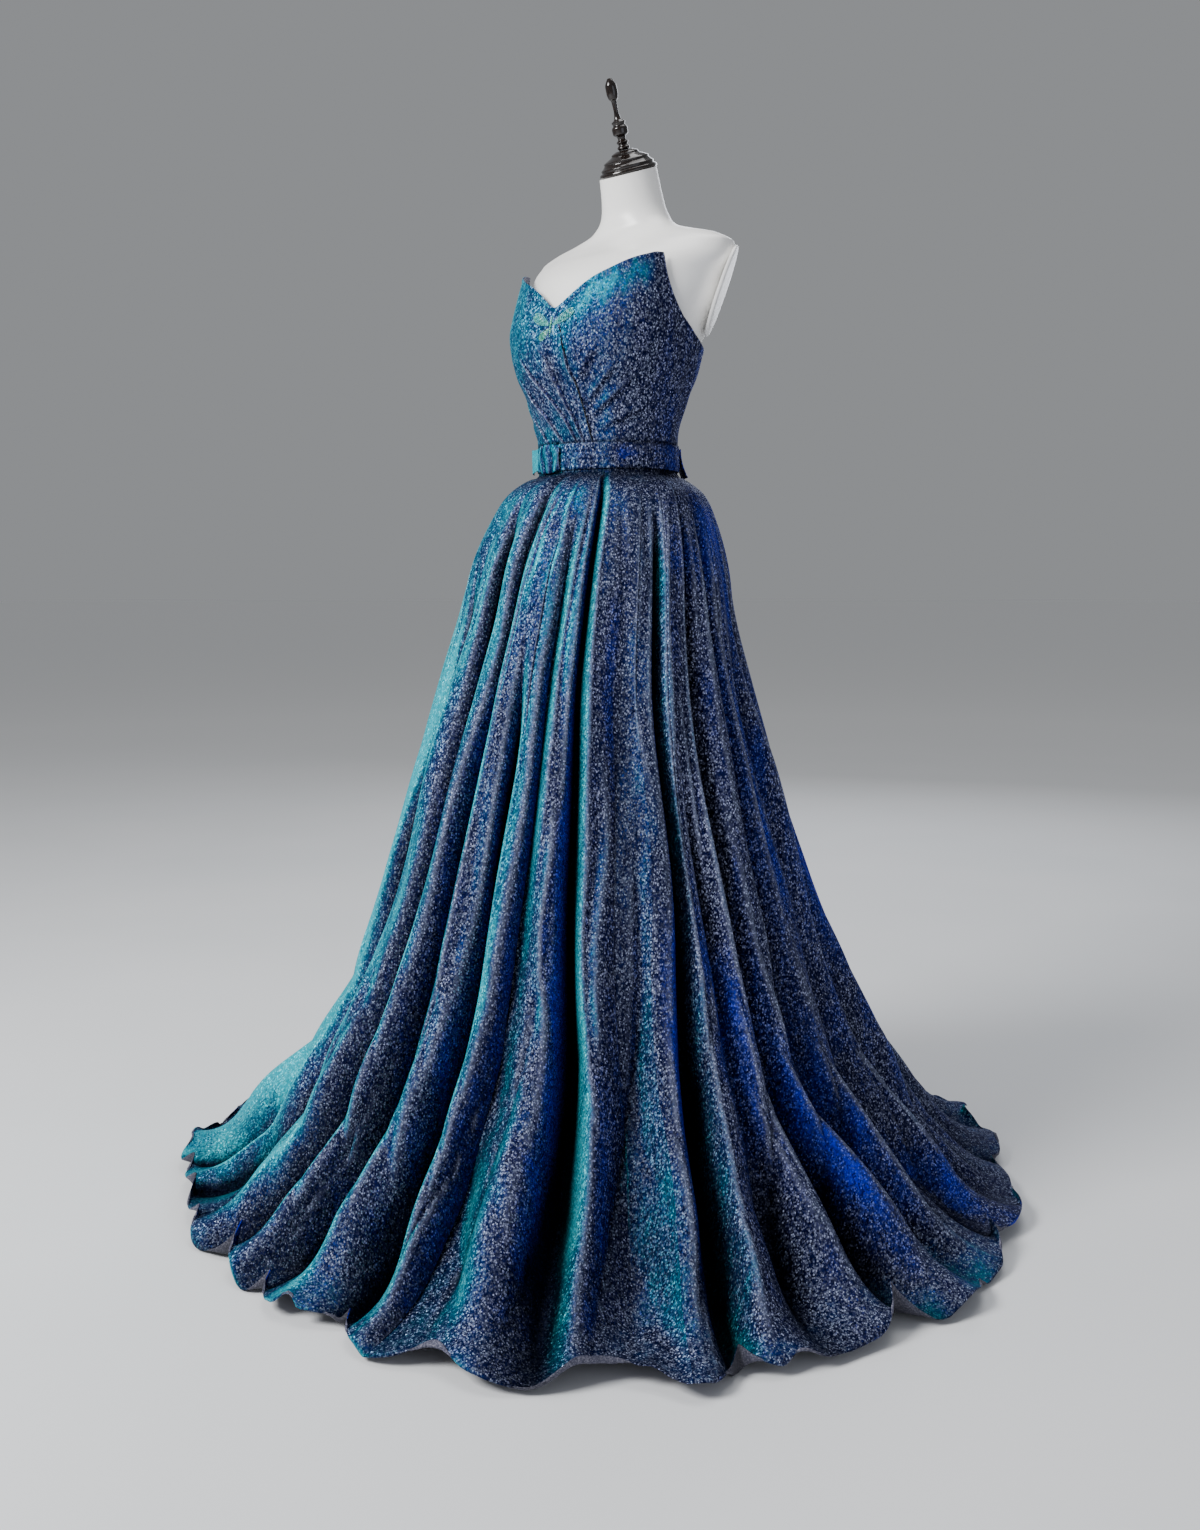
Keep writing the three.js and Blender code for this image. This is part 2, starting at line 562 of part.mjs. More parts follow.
function beltRing() {
  const outer = [];
  const inner = [];
  for (let i = 0; i < BELT_STEPS.round; i += 1) {
    const angle = (i * 360) / BELT_STEPS.round;
    outer.push([]);
    inner.push([]);
    for (let j = 0; j <= BELT_STEPS.down; j += 1) {
      const z = THREE.MathUtils.lerp(BELT_TOP, BELT_BOTTOM, j / BELT_STEPS.down);
      const soft = j % 2 === 0 ? 0 : -BELT_CREASE;
      outer[i].push(beltSurface(angle, z, soft));
      inner[i].push(beltSurface(angle, z, soft - WALL));
    }
  }
  return wall('belt', outer, inner, glitterCloth, true);
}

function loopRise(a, b) {
  const swell = Math.sin(Math.PI * b) * Math.sin(Math.PI * a) ** 0.5;
  const ridge = 1 + Math.cos(2 * Math.PI * BELT_LOOP.gathers * a);
  return BELT_LOOP.off + BELT_LOOP.swell * swell + BELT_LOOP.ridge * ridge;
}

function buildBelt() {
  return [
    beltRing(),
    beltPatch('belt_loop', BELT_LOOP, { round: 12, down: 6 }, loopRise, satinCloth),
    beltPatch('belt_end_front', BELT_END_FRONT, { round: 8, down: 3 },
      (a) => BELT_END_FRONT.off + BELT_END_FRONT.flare * a * a, satinCloth),
    beltPatch('belt_end_back', BELT_END_BACK, { round: 5, down: 6 },
      (a, b) => BELT_END_BACK.off + BELT_END_BACK.flare * b * b, glitterCloth),
  ];
}

// ---- butterfly ----
// Point of the bodice's front where x and z are given, with its outward normal.
function onCentreFront(x, z) {
  const side = interpolate(BODICE_SECTIONS, 'z', z, 'side');
  const square = interpolate(BODICE_SECTIONS, 'z', z, 'square');
  const sine = Math.min(Math.abs(x) / side, 1) ** (square / 2);
  const angle = THREE.MathUtils.radToDeg(Math.asin(sine)) * Math.sign(x);
  return { point: bodiceSurface(angle, z), normal: bodiceNormal(angle, z) };
}

// A thin leaf that lies on the bodice, thicker in the middle.
function applique(name, outline, centre, thick) {
  const rings = [1, 0.68, 0.34];
  const place = (x, z, off) => {
    const { point, normal } = onCentreFront(x, BUTTERFLY_HEIGHT + z);
    return point.addScaledVector(normal, off);
  };
  const layer = (share, off) => outline.map(([x, z]) => place(
    THREE.MathUtils.lerp(centre[0], x, share),
    THREE.MathUtils.lerp(centre[1], z, share),
    off,
  ));
  const low = 2 * SEAM;
  const high = low + thick;
  const stack = [
    ...rings.slice().reverse().map((share) => layer(share, low)),
    ...rings.map((share) => layer(share, high * (1.2 - 0.45 * share))),
  ];
  return loft(name, stack, beading);
}

function leafOutline(root, tip, half, mirror) {
  const length = Math.hypot(tip[0] - root[0], tip[1] - root[1]);
  const along = [(tip[0] - root[0]) / length, (tip[1] - root[1]) / length];
  const points = [];
  for (let k = 0; k < WING_SIDES; k += 1) {
    const turn = (k * 2 * Math.PI) / WING_SIDES;
    const share = (1 - Math.cos(turn)) / 2;
    const off = half * Math.sin(turn) * share ** 0.4;
    points.push([
      mirror * (root[0] + along[0] * share * length - along[1] * off),
      root[1] + along[1] * share * length + along[0] * off,
    ]);
  }
  return points;
}

function buildButterfly() {
  const bodyOutline = [];
  for (let k = 0; k < WING_SIDES; k += 1) {
    const turn = (k * 2 * Math.PI) / WING_SIDES;
    bodyOutline.push([
      BUTTERFLY_BODY.wide * Math.sin(turn), BUTTERFLY_BODY.long * Math.cos(turn),
    ]);
  }
  const pieces = [applique('butterfly_body', bodyOutline, [0, 0], BUTTERFLY_BODY.thick)];
  WINGS.forEach(({ name, root, tip, half, thick }) => {
    [['left', 1], ['right', -1]].forEach(([sideName, mirror]) => {
      const centre = [mirror * (root[0] + tip[0]) * 0.55, (root[1] + tip[1]) * 0.55];
      pieces.push(applique(
        `butterfly_wing_${name}_${sideName}`,
        leafOutline(root, tip, half, mirror), centre, thick,
      ));
    });
  });
  return pieces;
}

// ---- dress form ----
function formRing(section) {
  const ring = [];
  for (let k = 0; k < FORM_SIDES; k += 1) {
    const { side, front, back, square } = section;
    const p = ovalPoint((k * 2 * Math.PI) / FORM_SIDES, side, front, back, square);
    const y = p.y + section.behind + section.sweep * (p.x / side) ** 2;
    ring.push(new THREE.Vector3(p.x, y, section.z));
  }
  return ring;
}

// Big block whose face lies at a point and looks along a direction.
function cuttingBlock(at, faces) {
  const size = 400;
  const block = new THREE.BoxGeometry(size, size, size);
  block.deleteAttribute('uv');
  const mesh = new THREE.Mesh(block);
  mesh.quaternion.setFromUnitVectors(new THREE.Vector3(0, 0, 1), faces);
  mesh.position.copy(at).addScaledVector(faces, size / 2);
  mesh.updateMatrix();
  block.applyMatrix4(mesh.matrix);
  return toManifold(new THREE.Mesh(block));
}

function mirrored(vector) {
  return new THREE.Vector3(-vector.x, vector.y, vector.z);
}

function buildTorso() {
  const rough = loft('torso', FORM_SECTIONS.map(formRing), formShell);
  const neckAt = new THREE.Vector3(0, NECK_BACK, NECK_TOP);
  const neckFaces = new THREE.Vector3(0, -Math.sin(NECK_LEAN), Math.cos(NECK_LEAN));
  const cut = toManifold(rough)
    .subtract(cuttingBlock(ARM_CUT_AT, ARM_CUT_FACES))
    .subtract(cuttingBlock(mirrored(ARM_CUT_AT), mirrored(ARM_CUT_FACES)))
    .subtract(cuttingBlock(neckAt, neckFaces));
  return fromManifold('form_torso', cut, formShell);
}

// Oval plate on the flat cut of an arm.
function armPlate(name, at, faces) {
  const up = new THREE.Vector3(0, 0, 1).addScaledVector(faces, -faces.z).normalize();
  const across = new THREE.Vector3().crossVectors(up, faces);
  const ringAt = (off, scale) => {
    const ring = [];
    for (let k = 0; k < TURNED_SIDES; k += 1) {
      const turn = (k * 2 * Math.PI) / TURNED_SIDES;
      ring.push(at.clone()
        .addScaledVector(up, ARM_PLATE.above + ARM_PLATE.high * scale * Math.cos(turn))
        .addScaledVector(across, ARM_PLATE.wide * scale * Math.sin(turn))
        .addScaledVector(faces, off));
    }
    return ring;
  };
  const { thick } = ARM_PLATE;
  const rings = [ringAt(SEAM, 1), ringAt(thick * 0.6, 1), ringAt(thick, 0.94)];
  return loft(name, rings, formShell);
}

function turned(name, profile, finish) {
  const points = [
    new THREE.Vector2(0, profile[0].at),
    ...profile.map(({ at, r }) => new THREE.Vector2(r, at)),
    new THREE.Vector2(0, profile[profile.length - 1].at),
  ];
  const geometry = new THREE.LatheGeometry(points, TURNED_SIDES);
  geometry.deleteAttribute('uv');
  geometry.deleteAttribute('normal');
  geometry.rotateX(Math.PI / 2);
  const merged = mergeVertices(geometry, 0.001);
  const vertex = new THREE.Vector3();
  const corners = [];
  for (let k = 0; k < merged.attributes.position.count; k += 1) {
    corners.push(vertex.fromBufferAttribute(merged.attributes.position, k).clone());
  }
  const faces = [];
  for (let k = 0; k < merged.index.count; k += 3) {
    const [a, b, c] = [0, 1, 2].map((step) => merged.index.getX(k + step));
    if (a !== b && b !== c && a !== c) faces.push([a, b, c]);
  }
  return solid(name, corners, faces, finish);
}

function buildFinial() {
  const group = new THREE.Group();
  group.position.set(0, NECK_BACK, NECK_TOP);
  group.rotation.x = NECK_LEAN;
  group.add(
    turned('neck_cap', CAP_PROFILE, turnedWood),
    turned('finial', FINIAL_PROFILE, turnedWood),
  );
  return group;
}

function buildStand() {
  return [
    turned('stand_base', BASE_PROFILE, paintedSteel),
    turned('stand_pole', POLE_PROFILE, paintedSteel),
  ];
}

// ---- the whole object ----
const dress = new THREE.Group();
dress.add(...buildBodice());
dress.add(...SKIRT_PANELS.map(skirtPanel));
dress.add(...buildBelt());
dress.add(...buildButterfly());
dress.add(
  buildTorso(),
  armPlate('arm_plate_left', ARM_CUT_AT, ARM_CUT_FACES),
  armPlate('arm_plate_right', mirrored(ARM_CUT_AT), mirrored(ARM_CUT_FACES)),
);
dress.add(buildFinial());
dress.add(...buildStand());

export default dress;
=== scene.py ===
import math

import bmesh
import bpy
import numpy as np
from mathutils import Matrix, Vector


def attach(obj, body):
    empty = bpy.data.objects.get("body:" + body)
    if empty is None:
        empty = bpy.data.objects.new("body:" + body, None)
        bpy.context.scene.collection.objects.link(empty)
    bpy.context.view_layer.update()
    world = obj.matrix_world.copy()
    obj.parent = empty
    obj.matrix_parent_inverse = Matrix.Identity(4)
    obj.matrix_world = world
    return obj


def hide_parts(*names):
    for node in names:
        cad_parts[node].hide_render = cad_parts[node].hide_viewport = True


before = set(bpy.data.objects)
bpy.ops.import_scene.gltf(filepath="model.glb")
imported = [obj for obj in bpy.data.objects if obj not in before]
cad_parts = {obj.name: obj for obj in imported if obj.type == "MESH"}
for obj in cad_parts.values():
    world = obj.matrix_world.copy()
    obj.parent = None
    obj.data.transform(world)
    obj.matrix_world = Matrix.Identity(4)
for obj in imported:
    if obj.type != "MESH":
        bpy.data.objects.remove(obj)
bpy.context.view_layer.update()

# Strapless evening dress on a limbless dress form. Sizes are in millimetres and turned to metres
# when a mesh is made. Angles run round the body in degrees from the centre front (0) to the
# wearer's left (90).
MM = 0.001
CLOTH_WALL = 1.3
SEAM_HALF = 0.15

# ---- the camera and the light come first ----
CAMERA_AT = (1.5434, -1.7321, 0.99)
CAMERA_TILT = 82.5
CAMERA_TURN = 42.0
CAMERA_LENS = 33.76
CAMERA_SENSOR = 36
ROOM_COLOUR = "#e3e6ea"
ROOM_LIGHT = 0.36
FLOOR_REACH = 60000
FLOOR_SIDES = 96
LIGHTS = [
    # name, place, looks at, size, watts, colour
    ("key_softbox", (-0.8, -3.1, 3.0), (0, 0, 1.12), 1.4, 220, "#ffffff"),
    ("fill_softbox", (3.4, -0.6, 1.2), (0, 0, 0.7), 2.0, 15, "#e6ecff"),
    ("top_softbox", (0.0, 0.3, 4.4), (0, 0, 0.9), 2.2, 50, "#ffffff"),
    ("rear_softbox", (-1.6, 3.4, 2.6), (0, 0, 0.9), 2.0, 44, "#f2f6ff"),
]


def linear_colour(code):
    """sRGB hex to the linear colour that shaders take."""
    parts = [int(code[i:i + 2], 16) / 255 for i in (1, 3, 5)]
    line = [c / 12.92 if c <= 0.04045 else ((c + 0.055) / 1.055) ** 2.4 for c in parts]
    return (*line, 1.0)


def put_in_scene(name, data):
    thing = bpy.data.objects.new(name, data)
    bpy.context.scene.collection.objects.link(thing)
    return thing


def set_up_camera():
    data = bpy.data.cameras.new("studio_camera")
    data.lens = CAMERA_LENS
    data.sensor_width = CAMERA_SENSOR
    camera = put_in_scene("studio_camera", data)
    camera.location = CAMERA_AT
    camera.rotation_euler = [math.radians(a) for a in (CAMERA_TILT, 0, CAMERA_TURN)]
    bpy.context.scene.camera = camera


def set_up_lights():
    for name, place, aim, size, watts, colour in LIGHTS:
        data = bpy.data.lights.new(name, "AREA")
        data.size = size
        data.energy = watts
        data.color = linear_colour(colour)[:3]
        lamp = put_in_scene(name, data)
        lamp.location = place
        lamp.rotation_euler = (Vector(aim) - Vector(place)).to_track_quat("-Z", "Y").to_euler()
    world = bpy.data.worlds.new("pale_room")
    world.use_nodes = True
    background = world.node_tree.nodes["Background"]
    background.inputs["Color"].default_value = linear_colour(ROOM_COLOUR)
    background.inputs["Strength"].default_value = ROOM_LIGHT
    bpy.context.scene.world = world


# ---- sizes of the pieces, as the solids have them ----
WAIST_SEAM = 1172
BELT_BOTTOM = 1152
BELT_TOP = 1191
BELT_SIDE = 121.9
BELT_DEEP = 102.1
NECK_AT = (0, 50, 1618)
NECK_LEAN = math.radians(20)

# Outside of the bodice: z, half width, front depth, back depth, squareness of the oval.
BODICE_SECTIONS = np.array([
    (1150, 118, 97, 95, 2.1), (1172, 117, 97, 95, 2.1), (1205, 118, 98, 96, 2.1),
    (1268, 133, 112, 111, 2.2), (1300, 146, 124, 118, 2.3), (1333, 153, 131, 122, 2.4),
    (1365, 156, 127, 123, 2.6), (1390, 154, 119, 120, 2.65), (1425, 149, 108.5, 112, 2.6),
    (1470, 142, 96, 104, 2.4),
])
# Top edge of the bodice: angle and height, the same on both sides.
NECKLINE = np.array([
    (0, 1390), (4, 1402), (10, 1416), (19, 1430), (32, 1442), (47, 1454), (60, 1461), (70, 1465),
    (75, 1465), (78, 1437), (82, 1411), (87, 1386), (92, 1364), (100, 1350), (115, 1339),
    (140, 1335), (180, 1334),
])
# Each panel's columns: the angle at the top edge and at the waist.
DRAPED_COLUMNS = np.array([
    (0, 26), (-3, 24.4), (-9, 20), (-12, 17.6), (-14.5, 16), (-28, 13.9), (-42, 12.4), (-45, 10.8),
    (-55, 5), (-64, -3), (-68, -5.4), (-72, -14), (-75, -24), (-78, -38), (-82, -54), (-87, -72),
    (-92, -92),
])
CUP_COLUMNS = np.array([
    (0, 26), (4, 30), (10, 34), (19, 39), (32, 45), (47, 52), (60, 60), (70, 68), (75, 74),
    (78, 79), (82, 83), (87, 88), (92, 92),
])
BACK_COLUMNS = np.array([(a, a) for a in (92, 100, 112, 126, 140, 160, 180)])

# Pleats that run up out of the waist on the draped side: points (angle, z) from the top down,
# how high the edge stands, and how far its rise reaches back, in degrees.
PLEATS = [
    ([(-1, 1392), (3, 1362), (7, 1345), (9, 1302), (14, 1276), (20, 1226), (25.4, 1180)], 3.4, 9),
    ([(-8, 1338), (-2, 1308), (0, 1282), (4, 1252), (11, 1222), (19, 1180)], 4.2, 9),
    ([(-31, 1342), (-25, 1320), (-12, 1278), (-3, 1250), (6, 1215), (14, 1180)], 4.4, 12),
    ([(-47, 1318), (-36, 1290), (-26, 1258), (-14, 1231), (-5, 1205), (4, 1180)], 4.0, 14),
    ([(-66, 1290), (-54, 1262), (-40, 1236), (-24, 1208), (-12, 1180)], 2.6, 14),
]
# Soft drag ridges: from (angle, z) to (angle, z), height and width in degrees.
DRAG_RIDGES = [
    ((22, 1229), (58, 1290), 2.0, 2.6), ((20, 1250), (44, 1312), 1.8, 3.0),
    ((24, 1208), (74, 1252), 1.7, 3.0), ((14, 1282), (30, 1336), 1.3, 3.2),
    ((30, 1196), (84, 1212), 1.2, 4.0), ((-70, 1236), (-30, 1196), 1.6, 4.0),
    ((-84, 1262), (-50, 1216), 1.3, 4.0), ((104, 1322), (126, 1216), 1.0, 5.0),
    ((146, 1318), (160, 1206), 0.9, 4.5), ((-110, 1318), (-132, 1214), 1.0, 5.0),
    ((-150, 1316), (-158, 1208), 0.9, 4.5), ((88, 1330), (96, 1212), 0.9, 4.0),
]

# Skirt: z, half width, half depth, middle in front of the waist's, height of the folds.
SKIRT_SECTIONS = np.array([
    (1171.7, 117, 96.5, 0, 0), (1146, 118.5, 98.5, 0, 0.3), (1136, 131, 113, 4, 4),
    (1110, 160, 137, 8, 9), (1065, 178, 157, 14, 13), (1000, 193, 177, 21, 18),
    (920, 206, 195, 26, 20), (823, 223, 220, 29, 26), (693, 255, 255, 30, 33),
    (560, 289, 289, 30, 40), (426, 327, 327, 30, 47), (290, 374, 374, 30, 54),
    (190, 426, 426, 29, 60), (110, 484, 484, 27, 60), (50, 546, 546, 24, 54),
    (14, 606, 606, 21, 46), (2, 658, 658, 20, 38),
])
# Valleys between the folds: angle at the waist, half way down and at the hem, depth, height
# where it begins, reach of the hem, narrowness, and how far its left fold laps over it.
VALLEYS = np.array([
    (-46, -44, -46, 0.55, 1100, 15, 3, 4), (-31, -29, -35, 0.85, 1020, 0, 5, 4),
    (-17, -10, -21, 1.15, 1110, -5, 6, 4), (9, 1, -8, 0.95, 1150, -20, 6, 4),
    (19, 13.5, 8, 1.20, 900, -40, 8, 3), (28, 23.5, 15, 0.7, 1090, 0, 5, 5),
    (34.8, 35.5, 35.5, 1.25, 1172, 20, 9, 2), (50, 48, 47, 0.45, 900, -35, 2.5, 2),
    (66, 64, 56, 1.15, 1100, 20, 8, 1), (75, 70.5, 68.5, 0.75, 760, 0, 6, 2),
    (83, 77.5, 83, 1.1, 1120, -5, 6, 2), (96, 91, 94, 0.8, 1100, 10, 5, 3),
    (108, 105, 106, 0.70, 950, 0, 4, 5), (120, 119, 118, 0.80, 1130, 5, 5, -6),
    (133, 133, 132, 0.70, 980, 5, 4, 6), (146, 146, 145, 0.90, 1140, 20, 6, 5),
    (158, 160, 157, 0.70, 900, 38, 3, -4), (171, 172, 170, 1.00, 1150, 50, 6, 7),
    (184, 184, 184, 0.80, 1000, 60, 4, 5), (197, 196, 198, 0.90, 1130, 60, 6, -6),
    (210, 208, 210, 0.70, 940, 55, 3, 5), (222, 221, 222, 0.90, 1150, 45, 5, 6),
    (235, 234, 236, 0.80, 1000, 35, 4, -5), (248, 247, 249, 0.90, 1120, 35, 6, 7),
    (260, 260, 262, 0.70, 920, 40, 3, 4), (273, 273, 274, 0.90, 1100, 45, 5, -6),
    (287, 287, 287, 0.80, 980, 40, 4, 5), (301, 302, 300, 0.90, 1130, 30, 5, 6),
])
VALLEY_GROWS_OVER = 80
HEM_FROM = 0.55  # share of the way down from which a fold runs out to its reach
FOLD_WANDER = 0.9  # degrees
SKIRT_PANELS = [
    ("skirt_side_front_right", -1.5, 2.5), ("skirt_front_centre", 2.5, 7.5),
    ("skirt_side_front_left", 7.5, 12.5), ("skirt_back_left", 12.5, 17.5),
    ("skirt_back_right", 17.5, 22.5), ("skirt_side_back_right", 22.5, 26.5),
]
COLUMNS_A_FOLD = 30
SKIRT_ROWS = 170

# How far the hem runs out on the floor: angle and distance from the skirt's middle.
HEM_RUN = np.array([
    (-84, 690), (-70, 705), (-59, 700), (-51, 704), (-44, 690), (-36, 672), (-26, 668), (-15, 646),
    (-7, 648), (-1, 656), (8, 640), (18, 670), (24, 662), (32, 690), (43, 655), (53, 696),
    (58, 672), (64, 672), (69, 682), (77, 668), (84, 690), (96, 684), (106, 672), (117, 676),
    (126, 666), (134, 686), (150, 700),
])
# Ruffles at the hem: angle, half width in degrees, lift, and how far the edge runs out there.
# A minus run is a notch where the edge is pinched together.
HEM_RUFFLES = [
    (-76, 7.0, 20, 8), (-64, 2.6, 16, -18), (-55, 4.0, 22, 8), (-46, 1.8, 34, -24),
    (-36, 2.7, 46, -25), (-27, 1.9, 28, -18), (-16, 2.8, 44, -26), (-5, 1.7, 26, -15),
    (9, 4.0, 14, -14), (24, 2.4, 10, -6), (42, 8.0, 28, -4), (57.5, 1.9, 36, -20),
    (67, 3.0, 8, 0), (79, 2.1, 38, -24), (91, 5.0, 8, 2), (105, 2.6, 38, -24),
    (118, 5.0, 18, 4), (131, 2.2, 22, -18), (146, 7.0, 16, 6), (160, 2.4, 20, -22),
    (171, 5.5, 34, 8), (186, 2.2, 30, -22), (201, 5.0, 16, 4), (216, 2.4, 34, -22),
    (233, 6.0, 24, 6), (248, 2.4, 30, -22), (261, 4.5, 20, 4), (274, 3.4, 10, -8),
]
# Places where teal sheen is painted on the cloth: angle, z, half width in degrees, half height, turn to
# teal (a minus turn paints cobalt shade).
SHEEN_AND_SHADE_PLACES = [
    (-46, 560, 12, 300, 0.46), (-50, 190, 10, 110, 0.42), (101, 700, 5, 220, -0.08),
    (113, 1085, 11, 60, -0.07), (124, 560, 8, 260, -0.12), (96, 1055, 8, 80, -0.2),
    (27, 470, 6, 300, -0.13), (20, 240, 7, 130, -0.13),
    (-33, 740, 9, 150, 0.22), (-23, 150, 5, 70, 0.26), (-52, 20, 11, 40, 0.32), (-8, 690, 4, 120, -0.30),
    (-34, 40, 7, 50, 0.22), (-14, 8, 6, 24, 0.24), (14, 4, 14, 22, 0.14),
    (3, 20, 5, 50, 0.24), (2, 420, 3, 160, -0.22), (21, 980, 4, 90, 0.16), (26, 1100, 6, 40, 0.16),
    (47, 880, 3, 130, -0.16), (58, 360, 4, 150, -0.24), (71, 380, 4, 170, -0.34), (76, 1030, 7, 60, -0.20),
    (66, 990, 3, 70, 0.22), (86, 220, 8, 110, -0.26), (84, 8, 4, 30, 0.30), (96, 10, 5, 40, 0.30),
    (58, 6, 4, 25, 0.22), (112, 60, 8, 60, -0.18), (150, 400, 9, 220, 0.14), (205, 500, 9, 240, 0.16),
    (262, 420, 9, 220, 0.18), (232, 240, 6, 160, -0.2), (180, 260, 7, 160, -0.2), (290, 300, 7, 180, 0.16),
]
# Small soft creases on the skirt: angle and z at the upper end, angle and z at the lower end,
# depth, width in degrees. A minus depth is a ridge.
SKIRT_CREASES = [
    (-12, 1140, -22, 820, 3.0, 2.0), (-3, 1135, -12, 700, 3.5, 1.8), (4, 1130, 6, 760, -3.0, 2.2),
    (14, 1120, 10, 960, 3.0, 1.4), (22, 1135, 21, 940, -2.6, 1.4), (31, 1150, 30.5, 700, 3.0, 1.2),
    (31, 700, 30, 300, -4.5, 1.6), (40, 1140, 39, 560, -2.6, 1.6), (43, 760, 41, 240, 4.0, 1.5),
    (47, 1135, 53, 840, 2.6, 2.2), (56, 1130, 57, 600, -2.4, 2.0), (54, 640, 51, 160, 5.0, 1.6),
    (60, 1120, 61, 860, 2.2, 1.4), (71, 1120, 66, 620, -3.4, 1.5), (74, 900, 73, 300, 4.5, 1.3),
    (88, 1100, 84, 520, -4.0, 1.8), (86, 500, 89, 120, 6.0, 1.6), (101, 1060, 98, 420, 3.8, 1.6),
    (113, 1120, 111, 600, -3.2, 1.8), (126, 1100, 125, 420, 4.0, 1.7), (139, 1080, 138, 300, -4.5, 1.9),
    (152, 1120, 151, 640, 3.0, 1.8), (165, 1040, 164, 260, -5.0, 1.8), (178, 1110, 177, 480, 3.6, 1.7),
    (190, 1060, 190, 220, -4.6, 1.8), (203, 1120, 202, 620, 3.2, 1.6), (216, 1020, 215, 260, 4.6, 1.8),
    (228, 1120, 227, 520, -3.8, 1.7), (241, 1080, 240, 300, 4.2, 1.8), (254, 1040, 254, 240, -4.8, 1.7),
    (266, 1100, 266, 460, 3.6, 1.8), (280, 1060, 280, 300, -4.2, 1.8), (294, 1100, 294, 520, 3.8, 1.7),
    (308, 1060, 308, 280, 4.4, 1.8), (-38, 1120, -40, 520, -3.6, 2.0), (-25, 1080, -27, 420, 4.2, 1.7),
    (-55, 1040, -55, 300, -4.4, 1.8), (-8, 620, -14, 180, -6.0, 1.8), (1, 560, -2, 140, 5.0, 1.5),
]

# Dress form: z, half width, front and back depth, middle behind, sweep of the ends, squareness.
FORM_SECTIONS = np.array([
    (826, 150, 98, 108, 0, 0, 2.1), (834, 162, 106, 118, 0, 0, 2.1),
    (900, 171, 112, 124, 0, 0, 2.1), (980, 166, 110, 122, 0, 0, 2.1),
    (1060, 144, 101, 108, 0, 0, 2.1), (1120, 120, 93, 95, 0, 0, 2.1),
    (1172, 112.5, 92, 90, 0, 0, 2.1), (1205, 113.5, 93, 91, 0, 0, 2.1),
    (1268, 128, 106, 103, 0, 0, 2.2), (1300, 139, 117, 109, 0, 0, 2.3),
    (1333, 144, 122, 112, 0, 0, 2.4), (1362, 149, 117, 113, 0, 16, 2.6),
    (1384, 155, 108, 112, 0, 48, 2.6), (1402, 164, 102, 110, 0, 56, 2.6),
    (1440, 176, 92, 106, 8, 52, 2.5), (1472, 190, 76, 96, 24, 40, 2.4),
    (1492, 188, 60, 80, 40, 22, 2.2), (1506, 164, 50, 68, 52, 8, 2.1),
    (1518, 122, 46, 59, 60, 2, 2.0), (1530, 84, 47, 54, 66, 0, 2.0),
    (1546, 62, 48, 50, 66, 0, 2.0), (1570, 52, 47, 47, 61, 0, 2.0),
    (1612, 47, 46, 46, 50, 0, 2.0), (1650, 45, 45, 45, 40, 0, 2.0),
])
ARM_CUT_AT = Vector((166, 66, 1412))
ARM_CUT_FACES = Vector((0.79, 0.51, -0.33)).normalized()
ARM_PLATE_HIGH = 70
ARM_PLATE_WIDE = 40
ARM_PLATE_ABOVE = 9
ARM_PLATE_SIDES = 72
# How far each ring of an arm plate stands out, and its size beside the whole plate's.
ARM_PLATE_RINGS = [
    (0.3, 0.985), (0.8, 1), (3.6, 1), (4.6, 0.985), (5, 0.95), (5, 0.6), (5, 0.2),
]

# Turned profiles: distance along the axis and radius.
CAP_PROFILE = [
    (0.3, 44), (3, 46), (6, 45), (8, 41.5), (11, 42), (14, 38.5), (18, 35.5), (20, 36),
    (24, 29), (28, 21.5), (30, 21.5), (34, 13),
]
FINIAL_PROFILE = [
    (34.3, 7.5), (38, 10), (42, 7), (46, 9.4), (50, 6), (54, 7), (58, 12), (66, 12.4), (71, 9),
    (75, 11), (79, 6), (91, 3.6), (105, 4.2), (109, 7.2), (117, 9), (127, 8.8), (133, 6.4), (138, 3),
]
BASE_PROFILE = [(0, 168), (2, 170), (9, 170), (12, 164), (14, 120), (17, 60), (26, 30), (30, 26)]
POLE_PROFILE = [(30.3, 15), (812, 15), (816, 34), (825.7, 34)]

# Butterfly: middle on the centre front; wings from root to tip, half width, and the beads along
# an edge and along a row inside it.
BUTTERFLY_HEIGHT = 1361
WINGS = [
    ("upper", (4, 3), (41, 22), 8.5, 26, 12),
    ("lower", (4, -3), (21, -17), 6.5, 17, 7),
]


# ---- small maths ----
def smooth_step(value, low, high):
    share = np.clip((value - low) / (high - low), 0, 1)
    return share * share * (3 - 2 * share)


def hump(off, half, up=0.0, tall=1.0):
    """Round bump, 1 at its middle; half and tall are about half its width and half its height."""
    return np.exp(-(off / half) ** 2 - (up / tall) ** 2)


def degrees_from(angle, at):
    """Way round from at to angle, between -180 and 180 degrees."""
    return (angle - at + 180) % 360 - 180


